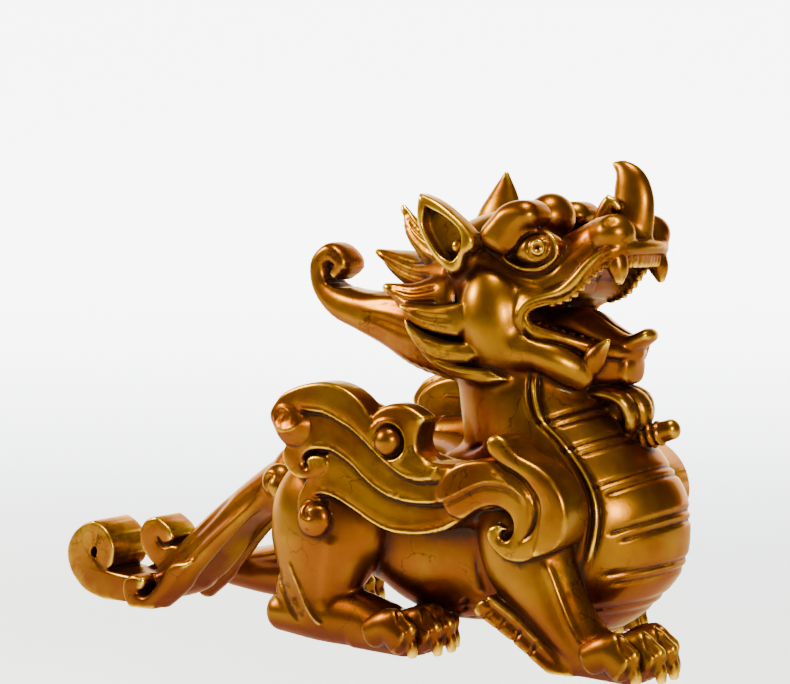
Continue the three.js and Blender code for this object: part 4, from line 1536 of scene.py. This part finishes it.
        if not stance.forward:
            carve(Mark.RIDGE, self.heel_ridge, 1.4, 1.2)
            carve(Mark.GROOVE, self.heel_line, 1.1, 1.0)
            for x, z in self.heel_cuts:
                carve(Mark.GROOVE, ((x - 1.9, z - 1.1), (x, z), (x + 1.9, z + 1.1)), 1.0, 0.7)
            carve(Mark.RIDGE, self.shank_ridge, 1.3, 3.0)
        self.paw(clay, *self.hind_paw, stance.planted())

    def model(self, clay: Clay) -> None:
        """Adds all four legs.

        Args:
            clay: The modelled animal.
        """
        self.hind(clay, AS_GIVEN)
        self.hind(clay, Stance(Side.LEFT, self.hind_step, 3))
        self.fore(clay, AS_GIVEN)
        self.fore(clay, Stance(Side.LEFT, self.front_step, 1))


@dataclass
class Tail:
    """A broad ridged ribbon that comes down to the ground and ends in scrolls."""

    ribbon: Rows = (
        (-40, 0, 75, 22, 17), (-68, 0, 62.5, 18, 12), (-86.5, 0, 49.5, 17, 11.5), (-99, 0, 37.5, 16.5, 13.5),
        (-119, 0, 20, 15, 13.5), (-136, 0, 10, 14, 9), (-146, 0, 5, 13, 7),
    )
    end_scroll: Sequence[Rows] = (
        ((-175, 40.5), (-182, 38), (-189, 32.5), (-193, 24), (-191.6, 15), (-187, 8.4), (-181, 3.6),
         (-173, 0.8), (-164, -1), (-150, -3)),
        ((-150, -3), (-142, -1.4), (-134, 5), (-131, 18)),
        ((-131, 18), (-138, 16), (-145, 14.5), (-150, 13.6), (-160, 14.2), (-166.6, 15.2)),
        ((-166.6, 15.2), (-163.6, 18), (-162, 22.5), (-161.8, 27.5), (-164.6, 33.5), (-169.6, 38),
         (-175, 40.5)),
    )
    upper_scroll: Sequence[Rows] = (
        ((-138, 44.5), (-144.4, 42.6), (-148, 38), (-149, 33), (-147.6, 27.6), (-142.4, 22), (-136, 17)),
        ((-136, 17), (-126, 10), (-114, 26)),
        ((-114, 26), (-121, 29.6), (-128.5, 31)),
        ((-128.5, 31), (-127.4, 34), (-128.4, 37.6), (-132.6, 41.4), (-138, 44.5)),
    )
    side_curl: Sequence[Rows] = (
        ((-104, 26), (-112, 16), (-118, 9), (-125, 3), (-130, -2), (-136, -4), (-141, -3), (-145.6, 2),
         (-148, 8), (-146.6, 13.6), (-141.4, 16.4), (-134.4, 15.4)),
        ((-134.4, 15.4), (-133.8, 12.6), (-135.6, 9.6), (-138.4, 7.6), (-135.2, 6), (-131, 7.5), (-124, 14.5),
         (-116, 24), (-104, 26)),
    )
    left_lag: float = -14.0   # how much further back the left curl lies
    side_ridge: Rows = (
        (-126, -18, 6, 6, 6), (-114, -17.6, 15.6, 6, 6), (-101, -17, 28.6, 5.4, 5.4),
        (-86, -16.4, 42.6, 4.4, 4.4), (-66, -15, 60, 3, 3),
    )
    scroll_eye: Rows = ((-175, 0, 24), (2.2, 30, 3.2))
    scroll_lines: Sequence[Rows] = (
        ((-166.5, 15), (-170, 16.5), (-173.4, 20), (-174.5, 23)), ((-174, 26), (-173, 31), (-170.5, 35)),
    )
    slit: Rows = ((-126.5, 33), (-129, 31.4), (-132.5, 30), (-136, 31.6), (-137.4, 35))
    flank_hollow: Rows = ((-106, 11), (-99, 19), (-92, 26), (-84, 34), (-74, 42), (-63, 52))
    upper_line: Rows = (
        (-89, 60), (-95, 54), (-104, 45), (-113, 37), (-121, 30), (-128, 24), (-135, 18), (-141, 13),
    )
    knob: Rows = ((-47, -29, 70), (8.4, 8, 9))
    knob_dent: Rows = ((-48.6, -38, 71.6), (5, 3.4, 5))
    knob_heart: Rows = ((-45, -33.5, 68.4), (4.6, 4.6, 5.6))

    def model(self, clay: Clay) -> None:
        """Adds the tail, its scrolls and the knob on either side of the rump.

        Args:
            clay: The modelled animal.
        """
        clay.add(Sweep(self.ribbon), 3, BOTH)
        clay.add(Plate(self.end_scroll, -14.5, 14.5, 1.3), 1.5)
        clay.add(Plate(self.upper_scroll, -9.5, 12, 1.5), 1.2)
        for stance in (AS_GIVEN, Stance(Side.LEFT, self.left_lag)):
            clay.add(Plate(self.side_curl, -25, -10, 2.2, 0.5), 1.5, stance)
        clay.add(Sweep(self.side_ridge), 2.4, BOTH)
        clay.cut(Egg(*self.scroll_eye, lean=20), 0.8)
        for line in self.scroll_lines:
            clay.score(Mark.GROOVE, at_y(-14, *line), 0.9, 0.8, view=ACROSS, stance=BOTH)
        clay.score(Mark.GROOVE, at_y(-9, *self.slit), 2.4, 0.9, view=ACROSS, stance=BOTH)
        clay.score(Mark.GROOVE, at_y(-16, *self.flank_hollow), 2.2, 5.5, stance=BOTH)
        clay.score(Mark.GROOVE, at_y(-8, *self.upper_line), 1.3, 1.1, stance=BOTH)
        clay.add(Egg(*self.knob), 1.0, BOTH)
        clay.cut(Egg(*self.knob_dent), 0.8, BOTH)
        clay.add(Egg(*self.knob_heart), 0.6, BOTH)


@dataclass
class Casting:
    """The whole animal as one casting.

    Attributes:
        clay: The modelled animal.
        voxel: Fineness of the grid from which the surface is taken.
        triangles: How many triangles the piece may have.
        low: Lowest corner of the box in which the animal lies.
        high: Highest corner.
        reliefs: Name, reach and stride of each record of how the surface stands out and lies back.
    """

    clay: Clay
    voxel: float = 0.8
    quick_voxel: float = 1.4
    triangles: int = 196_000
    low: Row = (-202.0, -74.0, -3.0)
    high: Row = (172.0, 74.0, 228.0)
    reliefs: Sequence[tuple] = (("relief_fine", 2.4, 1), ("relief_wide", 11.0, 3))

    def build(self) -> bpy.types.Object:
        """Makes the mesh, thins it where it is plain, and records how it stands out and lies back.

        Returns:
            The piece, without its finish.
        """
        shape = Field(self.clay, self.low, self.high, self.voxel)
        vertices, faces = shape.surface()
        log.info("surface: %d vertices, %d faces", len(vertices), len(faces))
        draft = bpy.data.meshes.new("draft")
        draft.from_pydata(shape.settle(vertices).tolist(), [], faces.tolist())
        holder = bpy.data.objects.new("draft", draft)
        bpy.context.scene.collection.objects.link(holder)
        thin = holder.modifiers.new("thin", "DECIMATE")
        thin.ratio = min(1.0, self.triangles / (2 * len(faces)))
        graph = bpy.context.evaluated_depsgraph_get()
        mesh = bpy.data.meshes.new_from_object(holder.evaluated_get(graph), depsgraph=graph)
        bpy.data.objects.remove(holder)
        bpy.data.meshes.remove(draft)
        mesh.name = "pixiu_casting"
        points = np.zeros(len(mesh.vertices) * 3, np.float32)
        mesh.vertices.foreach_get("co", points)
        points = shape.settle(points.reshape(-1, 3))
        for name, reach, stride in self.reliefs:
            layer = mesh.attributes.new(name, "FLOAT", "POINT")
            layer.data.foreach_set("value", shape.relief(points, reach, stride).astype(np.float32))
        normals = shape.slope(points)
        placed = (points - np.array([MIDDLE_X, 0, 0])) * MILLIMETRE
        mesh.vertices.foreach_set("co", placed.astype(np.float32).ravel())
        mesh.polygons.foreach_set("use_smooth", np.ones(len(mesh.polygons), bool))
        mesh.normals_split_custom_set_from_vertices(normals.astype(float).tolist())
        mesh.update()
        piece = bpy.data.objects.new("pixiu_casting", mesh)
        bpy.context.scene.collection.objects.link(piece)
        log.info("casting: %d triangles", sum(len(p.vertices) - 2 for p in mesh.polygons))
        return piece


@dataclass
class Graph:
    """The node graph of one material.

    Attributes:
        tree: The material's nodes.
    """

    tree: bpy.types.NodeTree

    def node(self, kind: str, settings: dict | None = None, inputs: dict | None = None) -> bpy.types.Node:
        """Adds a node.

        Args:
            kind: The node's type.
            settings: Attributes to set before its sockets are looked up.
            inputs: Values, or sockets of other nodes, by input name or number.

        Returns:
            The node.
        """
        made = self.tree.nodes.new(kind)
        for name, value in (settings or {}).items():
            setattr(made, name, value)
        for name, value in (inputs or {}).items():
            self.connect(value, made.inputs[name])
        return made

    def connect(self, value: "Socket | float | Row", target: bpy.types.NodeSocket) -> None:
        """Links a socket, or sets a plain value.

        Args:
            value: A socket or a plain value.
            target: The input that gets it.
        """
        if isinstance(value, Socket):
            self.tree.links.new(value.output, target)
        elif isinstance(value, (tuple, list)) and len(value) == 3 and target.type == "RGBA":
            target.default_value = (*value, 1.0)
        else:
            target.default_value = value

    def socket(self, kind: str, settings: dict | None = None, inputs: dict | None = None,
               output: int | str = 0) -> "Socket":
        """Adds a node and returns one of its outputs."""
        return Socket(self, self.node(kind, settings, inputs).outputs[output])

    def mix(self, share: "Socket | float", a: "Socket | Row", b: "Socket | Row") -> "Socket":
        """The colour that lies `share` of the way from a to b."""
        settings = {"data_type": "RGBA", "blend_type": "MIX", "clamp_factor": True}
        return self.socket("ShaderNodeMix", settings, {0: share, 6: a, 7: b}, 2)

    def step(self, value: "Socket", start: float, stop: float) -> "Socket":
        """Rises smoothly from 0 to 1 as the value goes from start to stop.

        Args:
            value: The socket that is looked at.
            start: Where it leaves 0.
            stop: Where it reaches 1.

        Returns:
            The smoothed socket.
        """
        settings = {"interpolation_type": "SMOOTHSTEP"}
        if start < stop:
            return self.socket("ShaderNodeMapRange", settings, {0: value, 1: start, 2: stop})
        return 1.0 - self.step(value, stop, start)

    def along(self, vector: "Socket", direction: Row) -> "Socket":
        """How far a vector goes in a direction."""
        inputs = {0: vector, 1: direction}
        return self.socket("ShaderNodeVectorMath", {"operation": "DOT_PRODUCT"}, inputs, "Value")

    def attribute(self, name: str) -> "Socket":
        """A value stored on the mesh."""
        return self.socket("ShaderNodeAttribute", {"attribute_name": name}, output="Fac")

    def noise(self, size: float, detail: float = 3.0, roughness: float = 0.55, warp: float = 0.0) -> "Socket":
        """Noise whose features are about `size` metres, from 0 to 1.

        Args:
            size: Size of a feature, in metres.
            detail: How many finer layers it has.
            roughness: How strong they are.
            warp: How much it is distorted.

        Returns:
            The noise.
        """
        place = self.socket("ShaderNodeTexCoord", output="Object")
        inputs = {"Vector": place, "Scale": 1 / size, "Detail": detail, "Roughness": roughness}
        return self.socket("ShaderNodeTexNoise", None, {**inputs, "Distortion": warp})


@dataclass
class Socket:
    """One output of a node, with arithmetic.

    Attributes:
        graph: The node graph that it is in.
        output: The output.
    """

    graph: Graph
    output: bpy.types.NodeSocket

    def math(self, operation: str, *values: "Socket | float") -> "Socket":
        """The result of a Math node."""
        return self.graph.socket("ShaderNodeMath", {"operation": operation}, dict(enumerate(values)))

    def __add__(self, other: "Socket | float") -> "Socket":
        """Sum."""
        return self.math("ADD", self, other)

    __radd__ = __add__

    def __sub__(self, other: "Socket | float") -> "Socket":
        """Difference."""
        return self.math("SUBTRACT", self, other)

    def __rsub__(self, other: float) -> "Socket":
        """Difference from a number."""
        return self.math("SUBTRACT", other, self)

    def __mul__(self, other: "Socket | float") -> "Socket":
        """Product."""
        return self.math("MULTIPLY", self, other)

    __rmul__ = __mul__

    def clamp(self) -> "Socket":
        """Kept between 0 and 1."""
        return self.graph.socket("ShaderNodeClamp", None, {0: self})


@dataclass(frozen=True)
class AntiqueBrass:
    """Lacquered brass with a dark wash in the fine hollows, painted shade in broad hollows and on faces that
    look down, darker towards the bottom, and worn bright on the edges.

    Attributes:
        gold: Colour of the plain surface.
        amber: Colour of its warmer patches.
        shade_umber: Colour of the patina that shades the sides and the hollows.
        recess: Colour of the deep hollows.
        worn: Colour of the rubbed edges.
        vein: Colour of the fine cracks in the patina.
        lacquer: Weight of the clear coat.
        glancing: Tint of the shine at a glancing angle.
    """

    gold: Row = (0.26, 0.115, 0.001)
    amber: Row = (0.175, 0.048, 0.001)
    shade_umber: Row = (0.058, 0.008, 0.001)
    recess: Row = (0.015, 0.002, 0.001)
    worn: Row = (0.90, 0.54, 0.04)
    vein: Row = (0.03, 0.004, 0.001)
    lacquer: float = 0.08
    glancing: Row = (0.72, 0.5, 0.16)

    def make(self) -> bpy.types.Material:
        """Builds the material.

        Returns:
            The finish.
        """
        material = bpy.data.materials.new("antique_brass")
        material.use_nodes = True
        graph = Graph(material.node_tree)
        graph.tree.nodes.clear()
        fine, wide = graph.attribute("relief_fine"), graph.attribute("relief_wide")
        cloud = graph.noise(0.05, 4, 0.6)
        spots = graph.noise(0.006, 3, 0.6, 0.4)
        colour = graph.mix(graph.step(cloud, 0.38, 0.62), self.gold, self.amber)
        # Painted shade: broad hollows and the spaces between parts, where the wide relief is low, are
        # darkened.
        shade = graph.step(wide + (cloud - 0.5) * 0.3 + (spots - 0.5) * 0.1, 0.14, -0.22)
        # Painted shade: faces that look down are darkened.
        facing = graph.socket("ShaderNodeNewGeometry", output="Normal")
        under = graph.step(self.height(graph, facing), 0.15, -0.55)
        # Darker towards the bottom: the parts below about 36 mm are darkened.
        place = graph.socket("ShaderNodeTexCoord", output="Object")
        low = graph.step(self.height(graph, place) + (cloud - 0.5) * 0.02, 0.036, 0.008)
        # The painted shade of the broad hollows and of faces that look down, and the darkening towards the
        # bottom, pull the colour towards the shade umber.
        shade = (shade * 0.85 + under * 0.45 + low * 0.55).clamp()
        colour = graph.mix(shade * 0.95, colour, self.shade_umber)
        colour = graph.mix(self.veins(graph) * 0.55, colour, self.vein)
        hollow = graph.step(fine + (spots - 0.5) * 0.1, -0.03, -0.2)
        colour = graph.mix(hollow, colour, self.recess)
        edge = graph.step(fine + (spots - 0.5) * 0.14, 0.13, 0.36)
        colour = graph.mix(edge * 0.8, colour, self.worn)
        rough = 0.27 + spots * 0.1 + hollow * 0.3 + shade * 0.06 - edge * 0.06
        bump = graph.noise(0.0011, 2) * 0.3 + graph.noise(0.009, 3)
        normal = graph.socket("ShaderNodeBump", None, {"Strength": 0.14, "Distance": 0.0006, "Height": bump})
        shader = graph.node("ShaderNodeBsdfPrincipled", None, {
            "Base Color": colour, "Roughness": rough.clamp(), "Metallic": (0.95 - hollow * 0.3).clamp(),
            "Specular Tint": (*self.glancing, 1.0), "Coat Weight": self.lacquer, "Coat Roughness": 0.1,
            "Normal": normal,
        })
        out = graph.node("ShaderNodeOutputMaterial")
        graph.tree.links.new(shader.outputs[0], out.inputs["Surface"])
        return material

    @staticmethod
    def height(graph: Graph, vector: Socket) -> Socket:
        """The upward part of a vector."""
        return graph.along(vector, (0, 0, 1))

    def veins(self, graph: Graph) -> Socket:
        """Fine branching cracks between large cells, 1 on a crack.

        Args:
            graph: The material's node graph.

        Returns:
            The cracks.
        """
        place = graph.socket("ShaderNodeTexCoord", output="Object")
        inputs = {"Vector": place, "Scale": 90.0, "Detail": 3.0}
        bend = graph.socket("ShaderNodeTexNoise", None, inputs, "Color")
        bend = graph.socket("ShaderNodeVectorMath", {"operation": "SUBTRACT"}, {0: bend, 1: (0.5, 0.5, 0.5)})
        bend = graph.socket("ShaderNodeVectorMath", {"operation": "SCALE"}, {0: bend, "Scale": 0.022})
        bent = graph.socket("ShaderNodeVectorMath", {"operation": "ADD"}, {0: place, 1: bend})
        settings = {"feature": "DISTANCE_TO_EDGE"}
        near = graph.socket("ShaderNodeTexVoronoi", settings, {"Vector": bent, "Scale": 34.0})
        return graph.step(near, 0.016, 0.004) * graph.step(graph.noise(0.03, 2), 0.46, 0.6)


@dataclass(frozen=True)
class View:
    """Where the photograph was taken from.

    Attributes:
        azimuth: Degrees from the animal's right side towards its front.
        elevation: Degrees above the level.
        distance: Distance from the target, in metres.
        target: Middle of the picture, in metres.
        lens: Focal length in millimetres.
    """

    azimuth: float = 32.0
    elevation: float = 3.0
    distance: float = 1.0
    target: Row = (0.0148, 0.0, 0.137)
    lens: float = 95.7

    def place(self) -> None:
        """Adds the camera."""
        data = bpy.data.cameras.new("view")
        data.lens = self.lens
        camera = bpy.data.objects.new("view", data)
        across, up = math.radians(self.azimuth), math.radians(self.elevation)
        back = Vector((math.sin(across) * math.cos(up), -math.cos(across) * math.cos(up), math.sin(up)))
        camera.location = Vector(self.target) + back * self.distance
        camera.rotation_euler = back.to_track_quat("Z", "Y").to_euler()
        bpy.context.scene.collection.objects.link(camera)
        bpy.context.scene.camera = camera


LAMP_TARGET = (0.0, 0.0, 0.1)


@dataclass(frozen=True)
class Lamp:
    """A soft square light.

    Attributes:
        name: Its name.
        place: Where it hangs, in metres.
        size: Its side, in metres.
        power: Its power in watts.
        tint: Its colour.
    """

    name: str
    place: Row
    size: float
    power: float
    tint: Row = (1.0, 0.84, 0.46)

    def hang(self) -> None:
        """Adds the light, turned towards the animal."""
        data = bpy.data.lights.new(self.name, "AREA")
        data.size = self.size
        data.energy = self.power
        data.color = self.tint
        lamp = bpy.data.objects.new(self.name, data)
        lamp.location = self.place
        away = Vector(self.place) - Vector(LAMP_TARGET)
        lamp.rotation_euler = away.to_track_quat("Z", "Y").to_euler()
        bpy.context.scene.collection.objects.link(lamp)


@dataclass(frozen=True)
class Studio:
    """A pale floor that runs up into a bright backdrop, dim light all round and three soft lamps.

    Attributes:
        floor_colour: Colour of the floor and the backdrop.
        front_glow: How brightly the floor shines in front of the animal.
        floor_glow: How brightly it shines under the animal.
        backdrop_glow: How brightly the backdrop shines.
        backdrop: Rows of distance behind the animal and height, from the floor up.
        half_width: Half the width of the floor.
        sky: Colour of the even light.
        sky_strength: Its strength.
        lamps: The lamps.
    """

    floor_colour: Row = (0.82, 0.9, 1.0)
    front_glow: Row = (0.02, 0.02, 0.02)
    floor_glow: Row = (0.9, 1.0, 1.2)
    backdrop_glow: Row = (6.5, 6.5, 6.5)
    backdrop: Rows = ((-3.0, 0.0), (1.6, 0.0), (2.6, 0.3), (3.2, 1.0), (3.4, 2.6))
    half_width: float = 3.6
    sky: Row = (1.0, 1.0, 1.0)
    sky_strength: float = 0.16
    lamps: tuple[Lamp, ...] = (
        Lamp("key", (-0.9, -0.55, 0.75), 0.28, 28.0),
        Lamp("side", (1.0, -0.75, 0.45), 0.2, 16.0),
        Lamp("top", (0.15, -0.1, 1.2), 0.3, 18.0),
    )

    @staticmethod
    def away() -> Row:
        """The level direction from the camera to the animal."""
        across = math.radians(View.azimuth)
        return (-math.sin(across), math.cos(across), 0.0)

    def floor(self) -> bpy.types.Object:
        """The floor and backdrop as one sheet, at right angles to the view.

        Returns:
            The sheet.
        """
        rows = [(distance, 0, height) for distance, height in self.backdrop]
        across = math.radians(View.azimuth)
        away = np.array(self.away())
        aside = np.array([math.cos(across), math.sin(across), 0]) * self.half_width
        points = []
        for distance, _, height in smooth_curve(rows, 40):
            middle = away * distance + (0, 0, height)
            points += [tuple(middle - aside), tuple(middle + aside)]
        faces = [(i, i + 1, i + 3, i + 2) for i in range(0, len(points) - 2, 2)]
        mesh = bpy.data.meshes.new("floor")
        mesh.from_pydata(points, [], faces)
        mesh.polygons.foreach_set("use_smooth", np.ones(len(faces), bool))
        floor = bpy.data.objects.new("floor", mesh)
        bpy.context.scene.collection.objects.link(floor)
        return floor

    def build(self) -> None:
        """Adds the floor, the lights and the camera."""
        floor = self.floor()
        material = bpy.data.materials.new("floor")
        material.use_nodes = True
        surface = material.node_tree.nodes["Principled BSDF"].inputs
        surface["Base Color"].default_value = (*self.floor_colour, 1.0)
        surface["Roughness"].default_value = 0.8
        surface["Emission Strength"].default_value = 1.0
        graph = Graph(material.node_tree)
        place = graph.socket("ShaderNodeTexCoord", output="Object")
        behind = graph.along(place, self.away())
        near = graph.step(behind, -0.5, -0.12)
        far = graph.step(behind, 0.3, 2.4)
        glow = graph.mix(near, self.front_glow, self.floor_glow)
        graph.connect(graph.mix(far, glow, self.backdrop_glow), surface["Emission Color"])
        floor.data.materials.append(material)
        world = bpy.data.worlds.new("sky")
        world.use_nodes = True
        background = world.node_tree.nodes["Background"].inputs
        background["Color"].default_value = (*self.sky, 1.0)
        background["Strength"].default_value = self.sky_strength
        bpy.context.scene.world = world
        for lamp in self.lamps:
            lamp.hang()
        View().place()


def main() -> None:
    """Models the animal, makes the casting of it, dresses it and sets it on the floor."""
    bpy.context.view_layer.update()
    clay = Clay()
    for part in (Head(), Body(), Mane(), Beard(), Tail(), Legs(), Wing()):
        before = len(clay.steps)
        part.model(clay)
        log.info("%s: %d steps of modelling", type(part).__name__.lower(), len(clay.steps) - before)
    clay.cut(Sweep(GROUND, power=8), GROUND_BLEND)
    piece = Casting(clay).build()
    piece.data.materials.append(AntiqueBrass().make())
    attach(piece, "root")
    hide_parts("pixiu")
    Studio().build()


if __name__ == "__main__":
    main()
